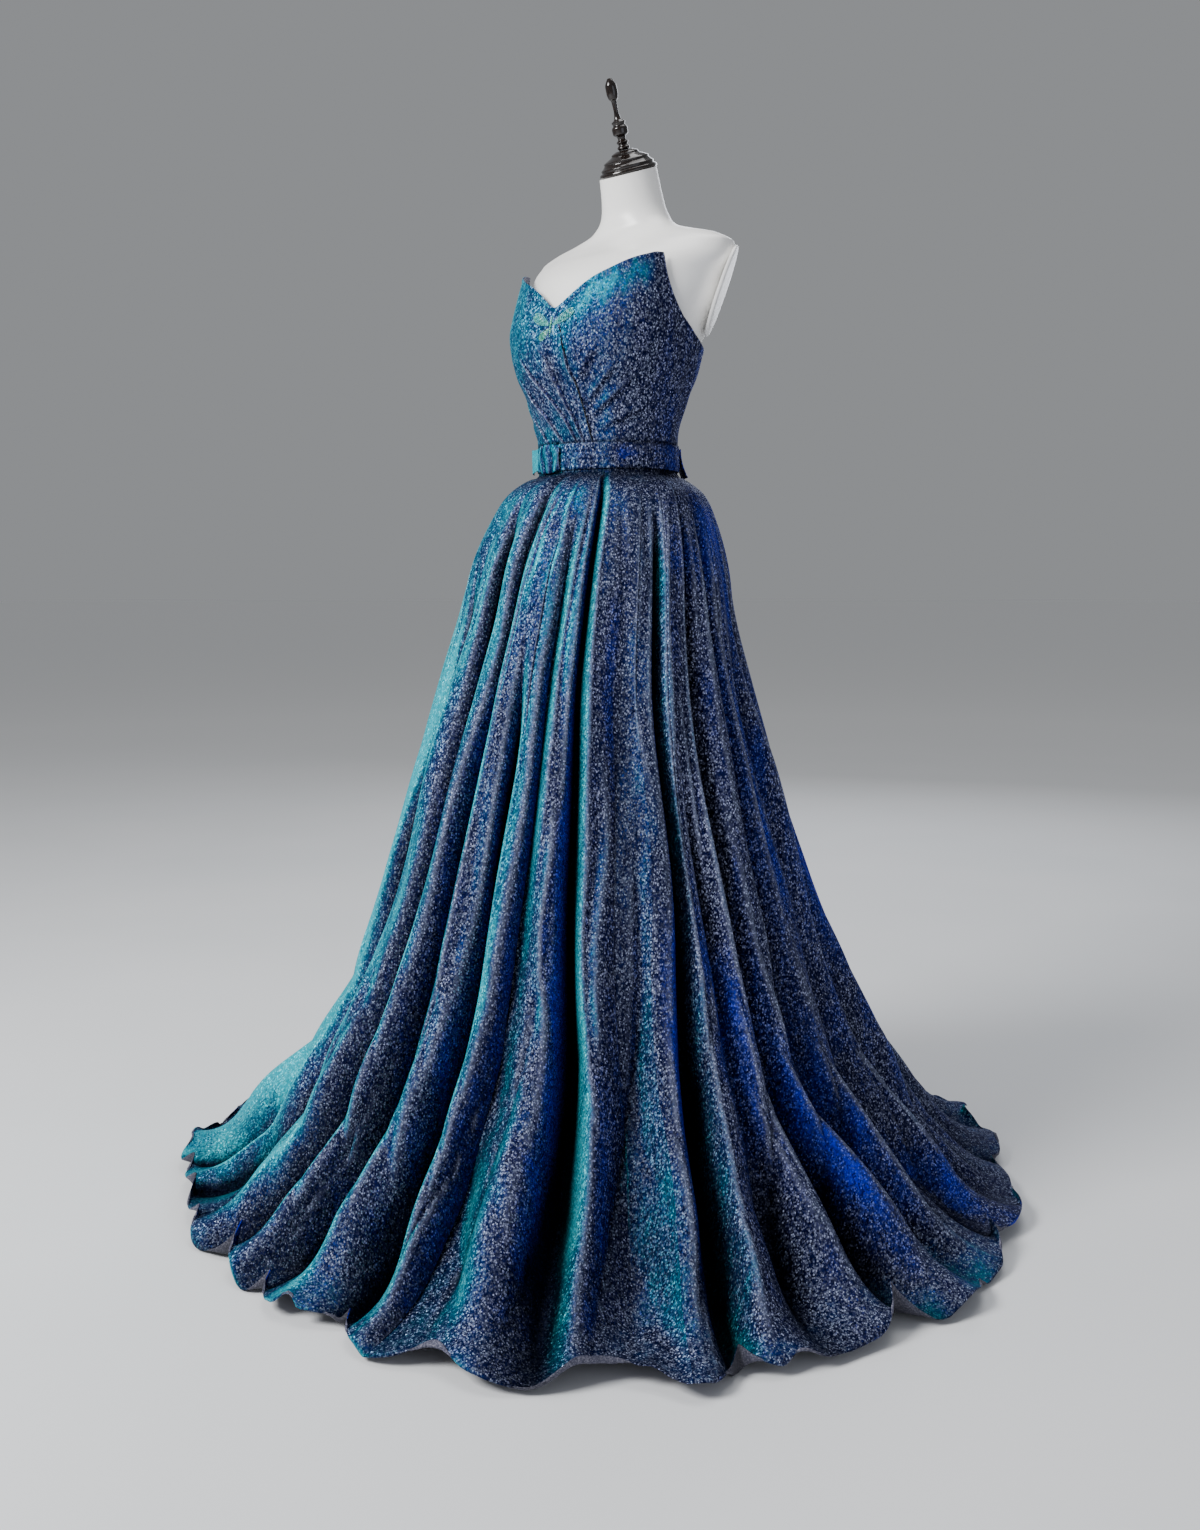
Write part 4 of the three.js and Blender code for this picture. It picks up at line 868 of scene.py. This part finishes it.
# Painted teal sheen, and painted cobalt shade where the turn is minus, at the places of the table.
def painted_sheen_and_shade(angle, z):
    turn = np.zeros_like(angle)
    for at, high, half, tall, amount in SHEEN_AND_SHADE_PLACES:
        turn += amount * hump(degrees_from(angle, at), half, z - high, tall)
    return turn


def hem_ruffles(angle, v):
    """Lift and run-out of the hem in mm, how many degrees its sides are pinched in, and notches."""
    lift, run, pinch, notch = np.zeros((4, *angle.shape))
    for at, half, high, out in HEM_RUFFLES:
        off = degrees_from(angle, at) / half
        here = hump(off, 1)
        drawn_in = max(-out, 0)
        lift += high * here
        run += out * here
        pinch -= 0.62 * off * here * half * drawn_in / FULL_NOTCH
        notch += here ** 2 * drawn_in / FULL_NOTCH
    notch = notch * smooth_step(v, *NOTCH_BEGINS) * smooth_step(v, *NOTCH_ENDS)
    return lift, run, pinch * smooth_step(v, *EDGE), notch


def fold_crown(number, across):
    """A fold's crown isn't level: a slight lean and a shallow hollow make each one its own."""
    lean = 0.12 * np.sin(number * 2.4 + 0.8) * np.sin(2 * np.pi * across)
    hollow = 0.07 * (1 + np.cos(number * 1.7)) * np.sin(np.pi * across) ** 2
    return lean - hollow


def seen_angle(angle):
    """The angle from -120 to 240, so that it runs through the front and the wearer's left."""
    return (angle + 120) % 360 - 120


def hem_on_floor(angle, v, reached, lift, run):
    """How far the hem runs out past what its folds have reached, and its lift, both in mm, with
    small frills and waves added to the lift and run of its ruffles."""
    turn = np.radians(angle)
    laid = smooth_step(v, *LAID)
    edge = smooth_step(v, *EDGE)
    curl = smooth_step(v, *CURL)
    wrapped = seen_angle(angle)
    seen = smooth_step(wrapped, -84, -70) * smooth_step(wrapped, 160, 140)
    target = through(HEM_RUN[:, 0], HEM_RUN[:, 1], wrapped) - reached
    frill = np.maximum(np.sin(turn * 33 + 2.3 * np.sin(turn * 7)), 0) ** 2
    frill = frill * (8 + 6 * np.sin(turn * 5 + 1)) * curl
    run_out = (np.clip(target, -HEM_RUN_MOST, HEM_RUN_MOST) * seen * laid ** 2 + run * edge ** 2
               + 5 * edge * np.sin(turn * 29 + 0.7) - frill)
    wave = np.sin(turn * 17 + 1.6 * np.sin(turn * 5)) + 0.6 * np.sin(turn * 37 + 2.0)
    lift = frill + 3.2 * (wave + 1.4) * edge + lift * (0.45 * edge ** 2 + 0.6 * curl ** 2)
    return run_out, lift


def skirt_grid(u, v):
    """Outside of the skirt: u counts valleys and the folds between them, v runs down from 0 to 1."""
    u, v = np.broadcast_arrays(np.asarray(u, float), np.asarray(v, float))
    count = len(VALLEYS)
    index = np.floor(u).astype(int)
    across = u - index
    left = VALLEYS[index % count]
    right = VALLEYS[(index + 1) % count]
    left_angle = valley_angle(left, v, index // count)
    right_angle = valley_angle(right, v, (index + 1) // count)
    z, side, deep, ahead, fold = skirt_profile(v)
    near_left = across < 0.5
    nearest = np.where(near_left[..., None], left, right)
    at_waist, depth, begins, narrow, laps = (nearest[..., k] for k in (0, 3, 4, 6, 7))
    grown = smooth_step(begins + 20 - z, 0, VALLEY_GROWS_OVER + 0.55 * (WAIST_SEAM - begins))
    # On one side of a valley the cloth ends in a crisp edge that laps over it; it comes up softly
    # out of the valley on the other side.
    crisp = (laps > 0) != near_left
    low = smooth_step(z, 700, 200)
    dip = np.abs(np.cos(np.pi * across)) ** (
        narrow * np.where(crisp, 1.5 - 0.85 * low, 0.5 - 0.18 * low))
    dipped = depth * (1 + 0.22 * np.sin(z / 120 + 2.3 * at_waist)) * (1 + 0.25 * low)
    crown = fold_crown(index % count, across)
    height = fold * (1 - dip * dipped * grown + crown * grown * (1 - dip))
    angle = left_angle + (right_angle - left_angle) * across
    height = height + drape_swell(angle, z) * np.clip(fold / 45, 0, 1.1)
    height = height - crease_depth(angle, z) * np.clip(fold / 7, 0, 1)
    angle = angle + FOLD_WANDER * drape_wander(angle, z) * np.clip(fold / 30, 0, 1)
    # Each fold laps over the valley at its side.
    from_valley = np.where(near_left, across, 1 - across)
    lap_share = smooth_step(from_valley, 0.01, 0.09) * smooth_step(from_valley, 0.4, 0.12)
    lap = laps * lap_share * np.where(crisp, 1.7, 0.25) * grown * np.clip(fold / 40, 0, 1.2)
    swing = (1 - np.cos(np.pi * across)) / 2
    reach = (left[..., 5] + (right[..., 5] - left[..., 5]) * swing) * smooth_step(v, HEM_FROM, 1)
    out_way, up_way = fold_direction(v)
    # On the floor the folds run out, and the hem lies in broad lobes with pinched notches between.
    laid = smooth_step(v, *LAID)
    dents, hollows = floor_crumples(angle, z)
    height = (height + dents * (1 - 0.5 * laid)) * (1 - 0.6 * laid)
    lap = lap * (1 - 0.7 * laid)
    lift, run, pinch, notch = hem_ruffles(angle, v)
    height = height - NOTCH_DEEP * notch
    run_out, lift = hem_on_floor(angle, v, side + reach + height * out_way, lift, run)
    out = height * out_way + reach + run_out
    rad = np.radians(angle + pinch)
    x = (side + out) * np.sin(rad) + lap * np.cos(rad)
    y = -ahead - (deep + out) * np.cos(rad) + lap * np.sin(rad)
    grid = np.stack([x, y, z + height * up_way + lift], -1)
    # Painted shade: deep between the folds, in the dents and the notches, under the belt and on the side
    # away from the key light.
    shade = dip * depth * grown * np.clip(fold / 12, 0, 1) * (1 - 0.35 * laid)
    shade = shade + DENT_SHADE * hollows * (1 - 0.7 * laid) + NOTCH_SHADE * notch
    shade = shade + UNDER_BELT_SHADE * smooth_step(z, 1108, 1150)
    shade = shade + SIDE_SHADE * hump(seen_angle(angle) - 112, 26) * smooth_step(z, 1070, 1120)
    return grid, angle + pinch, np.clip(shade, 0, 1)


def skirt_rows():
    """Rows at even steps down the cloth."""
    fine = np.linspace(0, 1, 1600)
    z, side = skirt_profile(fine)[:2]
    run = np.concatenate([[0], np.cumsum(np.hypot(np.diff(z), np.diff(side)))])
    return np.interp(np.linspace(0, run[-1], SKIRT_ROWS), run, fine)


def build_skirt(cloths):
    v = skirt_rows()[None, :]
    pieces = []
    for name, first, last in SKIRT_PANELS:
        count = int(round((last - first) * COLUMNS_A_FOLD)) + 1
        u = np.linspace(first, last, count)[:, None]
        grid, angle, shade = skirt_grid(u, v)
        ends = np.zeros((count, 1))
        ends[0], ends[-1] = SEAM_HALF, -SEAM_HALF
        rad = np.radians(angle)
        grid[..., 0] += ends * np.cos(rad)
        grid[..., 1] += ends * np.sin(rad)
        # Painted teal sheen and cobalt shade.
        painted_sheen_turn = painted_sheen_and_shade(angle, grid[..., 2])
        pieces.append(cloth_piece(name, grid, cloths, fold=shade, painted_sheen_turn=painted_sheen_turn))
    return pieces


# ---- belt ----
def belt_surface(angle, z, off):
    rad = np.radians(angle)
    return np.stack([(BELT_SIDE + off) * np.sin(rad), -(BELT_DEEP + off) * np.cos(rad),
                     z + 0 * rad], -1)


def build_belt(cloths):
    angle = np.linspace(0, 360, 360, endpoint=False)[:, None]
    share = np.linspace(0, 1, 26)[None, :]
    rad = np.radians(angle)
    z = BELT_TOP - (BELT_TOP - BELT_BOTTOM) * share + 0.8 * np.sin(3 * rad + 5 * share)
    rolled_edge = 1.1 * np.abs(2 * share - 1) ** 6
    creases = 0.45 * np.sin(share * 13 + 1.5 * np.sin(rad * 2)) + 0.25 * np.sin(share * 27 + rad * 3)
    off = -0.7 + creases * np.sin(np.pi * share) - rolled_edge
    grid = belt_surface(angle + 0 * share, z, off)
    # Painted teal sheen on the belt at the right, and painted cobalt shade left of the front.
    painted_sheen_turn = (0.28 * hump(degrees_from(angle, -62), 16)
            - 0.27 * np.exp(-(degrees_from(angle, 50) / 11) ** 2 - (share - 0.4) ** 2 / 0.1))
    # Painted shade along the belt's upper and lower edges.
    fold = 0.5 * np.abs(2 * share - 1) ** 10
    return cloth_piece("belt", grid, cloths, ring=True, fold=fold, painted_sheen_turn=painted_sheen_turn)


def belt_patch(name, angles, heights, counts, off, shape, cloths, painted_sheen_turn=0.0, fold=None):
    """Cloth that lies on the belt; off, shape and fold give its rise, outline and painted shade."""
    a = np.linspace(0, 1, counts[0])[:, None]
    b = np.linspace(0, 1, counts[1])[None, :]
    z = heights[0] + (heights[1] - heights[0]) * b + shape(a, b)
    angle = angles[0] + (angles[1] - angles[0]) * a + 0 * b
    grid = belt_surface(angle, z, 0.3 + CLOTH_WALL + off(a, b))
    return cloth_piece(name, grid, cloths, fold=fold(a, b) if fold else 0.0, painted_sheen_turn=painted_sheen_turn)


def build_belt_ends(satin, lame):
    def gather_line(a, b):
        return 0.5 - 0.5 * np.cos(2 * np.pi * (3.4 * a ** 0.8 + 0.22 * np.sin(4 * b + 3 * a)) - 0.5)

    def gathers(a, b):
        return (0.4 + 3.2 * np.sin(np.pi * b) ** 0.6 * np.sin(np.pi * a) ** 0.4
                + 2.2 * (1 - gather_line(a, b)))

    # Painted shade in the hollows between the gathers.
    def between_gathers(a, b):
        return 0.38 * gather_line(a, b) ** 2

    def loop_outline(a, b):
        return (b - 0.5) * 12 * np.abs(2 * a - 1) ** 3 - 3 * (1 - b)

    def flare(a, b):
        return 0.2 + 8.5 * a * a + 1.3 * np.sin(a * 9 + 2 * b) * a

    def back_flare(a, b):
        return 0.2 + 11 * b * b + 1.2 * np.sin(a * 8) * b

    def level(a, b):
        return 1.5 * np.sin(4 * a + 0.8) * (2 * b - 1)

    # After the finishes come each patch's painted teal sheen, minus for cobalt shade, and on the loop its
    # painted shade.
    return [
        belt_patch("belt_loop", (-31, -3), (1195, 1148), (90, 50), gathers, loop_outline, satin,
                   0.0, between_gathers),
        belt_patch("belt_end_front", (-31.4, -66), (1189, 1153), (80, 30), flare, level, satin, 0.2),
        belt_patch("belt_end_back", (128, 146), (1189, 1143), (40, 50), back_flare, level, lame, -0.1),
    ]


# ---- butterfly ----
BEAD_SIDES = 8
BEAD_RINGS = [(1.0, 0.0), (0.86, 0.55), (0.45, 0.92)]  # radius and height, as shares
BEAD_SUNK = 0.2
BODY_BEADS = 11
WING_ROWS = (-0.62, -0.25, 0.25, 0.62, 0.0)


def on_centre_front(x, z):
    """Point of the bodice's front at x and z, and the way it faces."""
    side, square = (np.interp(z, BODICE_SECTIONS[:, 0], BODICE_SECTIONS[:, k]) for k in (1, 4))
    sine = np.clip(np.abs(x) / side, 0, 1) ** (square / 2)
    angle = np.degrees(np.arcsin(sine)) * np.sign(x)
    by_angle = bodice_surface(angle + 0.5, z) - bodice_surface(angle - 0.5, z)
    by_height = bodice_surface(angle, z + 2) - bodice_surface(angle, z - 2)
    normal = np.cross(by_angle, by_height)
    return bodice_surface(angle, z), normal / np.linalg.norm(normal, axis=-1, keepdims=True)


def bead(radius, flat):
    """Cut glass bead: a low dome of facets."""
    points = []
    for share, height in BEAD_RINGS:
        for k in range(BEAD_SIDES):
            turn = math.radians(360 / BEAD_SIDES * k)
            points.append((radius * share * math.cos(turn), radius * share * math.sin(turn),
                           radius * flat * height))
    top = len(points)
    points += [(0, 0, radius * flat), (0, 0, -radius * BEAD_SUNK)]
    faces = []
    for start in range(0, top - BEAD_SIDES, BEAD_SIDES):
        for k in range(BEAD_SIDES):
            a, b = start + k, start + (k + 1) % BEAD_SIDES
            faces.append((a, b, b + BEAD_SIDES, a + BEAD_SIDES))
    for k in range(BEAD_SIDES):
        n = (k + 1) % BEAD_SIDES
        faces.append((top - BEAD_SIDES + k, top - BEAD_SIDES + n, top))
        faces.append((n, k, top + 1))
    return np.array(points), faces


def beads_on(spots):
    """All beads as one set of points and faces; a spot is x, z, rise, radius, flatness."""
    points = []
    faces = []
    for x, z, rise, radius, flat in spots:
        here, normal = on_centre_front(np.array(x), np.array(BUTTERFLY_HEIGHT + z))
        shape, sides = bead(radius, flat)
        across = np.cross(normal, (0, 0, 1))
        across /= np.linalg.norm(across)
        up = np.cross(normal, across)
        start = len(shape) * len(points)
        points.append(here + normal * (rise + radius * BEAD_SUNK) + shape[:, :1] * across
                      + shape[:, 1:2] * up + shape[:, 2:] * normal)
        faces += [tuple(start + k for k in side) for side in sides]
    return np.concatenate(points), faces


def leaf_point(root, tip, half, along, across):
    """Point of a wing: along from root to tip, across from -1 to 1."""
    long_ = math.hypot(tip[0] - root[0], tip[1] - root[1])
    way = ((tip[0] - root[0]) / long_, (tip[1] - root[1]) / long_)
    turn = math.acos(1 - 2 * min(max(along, 0), 1))
    off = half * math.sin(turn) * along ** 0.4 * across
    return (root[0] + way[0] * along * long_ - way[1] * off,
            root[1] + way[1] * along * long_ + way[0] * off)


def wing_spots(root, tip, half, edge_count, row_count):
    """Spots of a wing's beads: an edge of even ones, filled with rows that swell and shrink."""
    spots = []
    for k in range(edge_count):
        along = 0.02 + 0.96 * (0.5 - 0.5 * math.cos(math.pi * k / (edge_count - 1)))
        for across in (-1, 1):
            spots.append((*leaf_point(root, tip, half, along, across), 1.0, 1.05, 1.0))
    for across in WING_ROWS:
        for k in range(row_count):
            along = 0.1 + 0.82 * k / (row_count - 1)
            radius = 1.35 + 0.35 * math.sin(k * 2.1 + across * 5)
            spots.append((*leaf_point(root, tip, half, along, across), 0.9, radius, 0.8))
    return spots


def build_butterfly(glasses):
    body = []
    for k in range(BODY_BEADS):
        thick = 1.2 + 1.1 * math.sin(math.pi * (k + 0.6) / 11.5)
        body.append((0, -14 + 2.8 * k, 0.6, thick, 1.15))
    pieces = [new_piece("butterfly_body", *beads_on(body), [glasses["body"]], sharp=20)]
    for wing, *shape in WINGS:
        spots = wing_spots(*shape)
        for side, mirror in (("left", 1), ("right", -1)):
            beads = beads_on([(mirror * x, *rest) for x, *rest in spots])
            pieces.append(new_piece(f"butterfly_wing_{wing}_{side}", *beads,
                                    [glasses[f"{wing}_{side}"]], sharp=20))
    return pieces


# ---- dress form and stand ----
def lofted(rings):
    """Points and faces of a solid through closed rings, with flat ends."""
    rows, count = len(rings), len(rings[0])
    faces = []
    for i in range(rows - 1):
        for k in range(count):
            n = (k + 1) % count
            faces.append((i * count + k, i * count + n, (i + 1) * count + n, (i + 1) * count + k))
    faces.append(tuple(range(count))[::-1])
    faces.append(tuple((rows - 1) * count + k for k in range(count)))
    return np.concatenate(rings), faces


def arm_cut(mirror):
    """Middle of an arm's cut and the way that the cut faces; mirror is 1 for the left arm."""
    return [Vector((mirror * v.x, v.y, v.z)) for v in (ARM_CUT_AT, ARM_CUT_FACES)]


def build_torso(finish):
    heights = np.concatenate([np.linspace(826, 1340, 60, endpoint=False), np.linspace(1340, 1650, 90)])
    angle = np.linspace(0, 360, 128, endpoint=False)
    rings = []
    for z in heights:
        side, front, back, behind, sweep, square = (float(c) for c in columns_at(FORM_SECTIONS, z))
        x, y = oval(angle, side, front, back, square)
        rings.append(np.stack([x, y + behind + sweep * (x / side) ** 2, np.full_like(x, z)], -1))
    points, faces = lofted(rings)
    work = bmesh.new()
    corners = [work.verts.new(p) for p in points]
    for face in faces:
        work.faces.new([corners[k] for k in face])
    neck = (Vector(NECK_AT), Vector((0, -math.sin(NECK_LEAN), math.cos(NECK_LEAN))))
    for place, faces_way in (neck, arm_cut(1), arm_cut(-1)):
        cut = bmesh.ops.bisect_plane(work, geom=work.verts[:] + work.edges[:] + work.faces[:],
                                     dist=0.001, plane_co=place, plane_no=faces_way,
                                     clear_outer=True)
        edges = [e for e in cut["geom_cut"] if isinstance(e, bmesh.types.BMEdge)]
        bmesh.ops.contextual_create(work, geom=edges)
    bmesh.ops.recalc_face_normals(work, faces=work.faces[:])
    mesh = bpy.data.meshes.new("form_torso")
    work.to_mesh(mesh)
    work.free()
    mesh.transform(Matrix.Scale(MM, 4))
    return finish_piece("form_torso", mesh, [finish], sharp=28)


def build_arm_plate(name, mirror, finish):
    at, faces_way = arm_cut(mirror)
    up = (Vector((0, 0, 1)) - faces_way * faces_way.z).normalized()
    across = up.cross(faces_way)
    middle = at + up * ARM_PLATE_ABOVE
    rings = []
    for off, scale in ARM_PLATE_RINGS:
        ring = []
        for k in range(ARM_PLATE_SIDES):
            turn = 2 * math.pi * k / ARM_PLATE_SIDES
            ring.append(middle + up * (ARM_PLATE_HIGH * scale * math.cos(turn))
                        + across * (ARM_PLATE_WIDE * scale * math.sin(turn)) + faces_way * off)
        rings.append(np.array(ring))
    points, faces = lofted(rings)
    return new_piece(name, points, faces, [finish], sharp=35)


def turned_piece(name, profile, finish, sides=96, smooth=4, lean=0.0, at=(0, 0, 0)):
    """Round piece turned on a lathe, its profile eased between the table's points."""
    line = np.array(profile, float)
    place = np.arange(len(line))
    fine = np.linspace(0, len(line) - 1, (len(line) - 1) * smooth + 1)
    turn = np.linspace(0, 2 * np.pi, sides, endpoint=False)
    rings = [np.stack([r * np.cos(turn), r * np.sin(turn), np.full(sides, a)], -1)
             for a, r in zip(through(place, line[:, 0], fine), through(place, line[:, 1], fine))]
    points, faces = lofted(rings)
    points = points @ np.array(Matrix.Rotation(lean, 3, "X")).T + np.array(at)
    return new_piece(name, points, faces, [finish], sharp=38)


def build_floor(finish):
    """Round floor, wide enough to reach the horizon."""
    turn = np.linspace(0, 2 * np.pi, FLOOR_SIDES, endpoint=False)
    points = np.stack([FLOOR_REACH * np.cos(turn), FLOOR_REACH * np.sin(turn), 0 * turn], -1)
    floor = new_piece("studio_floor", points, [tuple(range(FLOOR_SIDES))], [finish], sharp=60)


# ---- the whole object ----
set_up_camera()
set_up_lights()
build_floor(seamless_paper("seamless paper"))

lame = metallised_lame("metallised lame", 0.0, 1.0)
satin = metallised_lame("metallised lame satin side", 0.03, 0.4)
reverse = cloth_back("lame reverse")
shell = moulded_shell("sprayed glass fibre")
beech = stained_beech("stained beech")
steel = enamelled_steel("enamelled steel")
glasses = {
    "body": pressed_glass("green glass bead", GREEN),
    "upper_left": pressed_glass("mint glass bead", MINT),
    "lower_left": pressed_glass("sky glass bead", SKY),
}
glasses["upper_right"] = glasses["upper_left"]
glasses["lower_right"] = glasses["body"]

made = {}
for piece in (
        build_bodice([lame, reverse]) + build_skirt([lame, reverse]) + [build_belt([lame, reverse])]
        + build_belt_ends([satin, reverse], [lame, reverse]) + build_butterfly(glasses)
        + [build_torso(shell), build_arm_plate("arm_plate_left", 1, shell),
           build_arm_plate("arm_plate_right", -1, shell),
           turned_piece("neck_cap", CAP_PROFILE, beech, lean=NECK_LEAN, at=NECK_AT),
           turned_piece("finial", FINIAL_PROFILE, beech, lean=NECK_LEAN, at=NECK_AT),
           turned_piece("stand_base", BASE_PROFILE, steel),
           turned_piece("stand_pole", POLE_PROFILE, steel, sides=48, smooth=1)]):
    made[piece.name.removesuffix("_made")] = piece

SLOTS = {
    "dress_cloth": ["bodice_front_right", "bodice_front_left", "bodice_back_left",
                    "bodice_back_right", "skirt_side_front_right", "skirt_front_centre",
                    "skirt_side_front_left", "skirt_back_left", "skirt_back_right",
                    "skirt_side_back_right", "belt", "belt_end_back"],
    "belt_satin": ["belt_loop", "belt_end_front"],
    "beading": ["butterfly_body", "butterfly_wing_upper_left", "butterfly_wing_upper_right",
                "butterfly_wing_lower_left", "butterfly_wing_lower_right"],
    "form_shell": ["form_torso", "arm_plate_left", "arm_plate_right"],
    "turned_wood": ["neck_cap", "finial"],
    "stand_steel": ["stand_base", "stand_pole"],
}
for slot_name, names in SLOTS.items():
    for name in names:
        piece = made[name]
        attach(piece, "root")
        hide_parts(name)
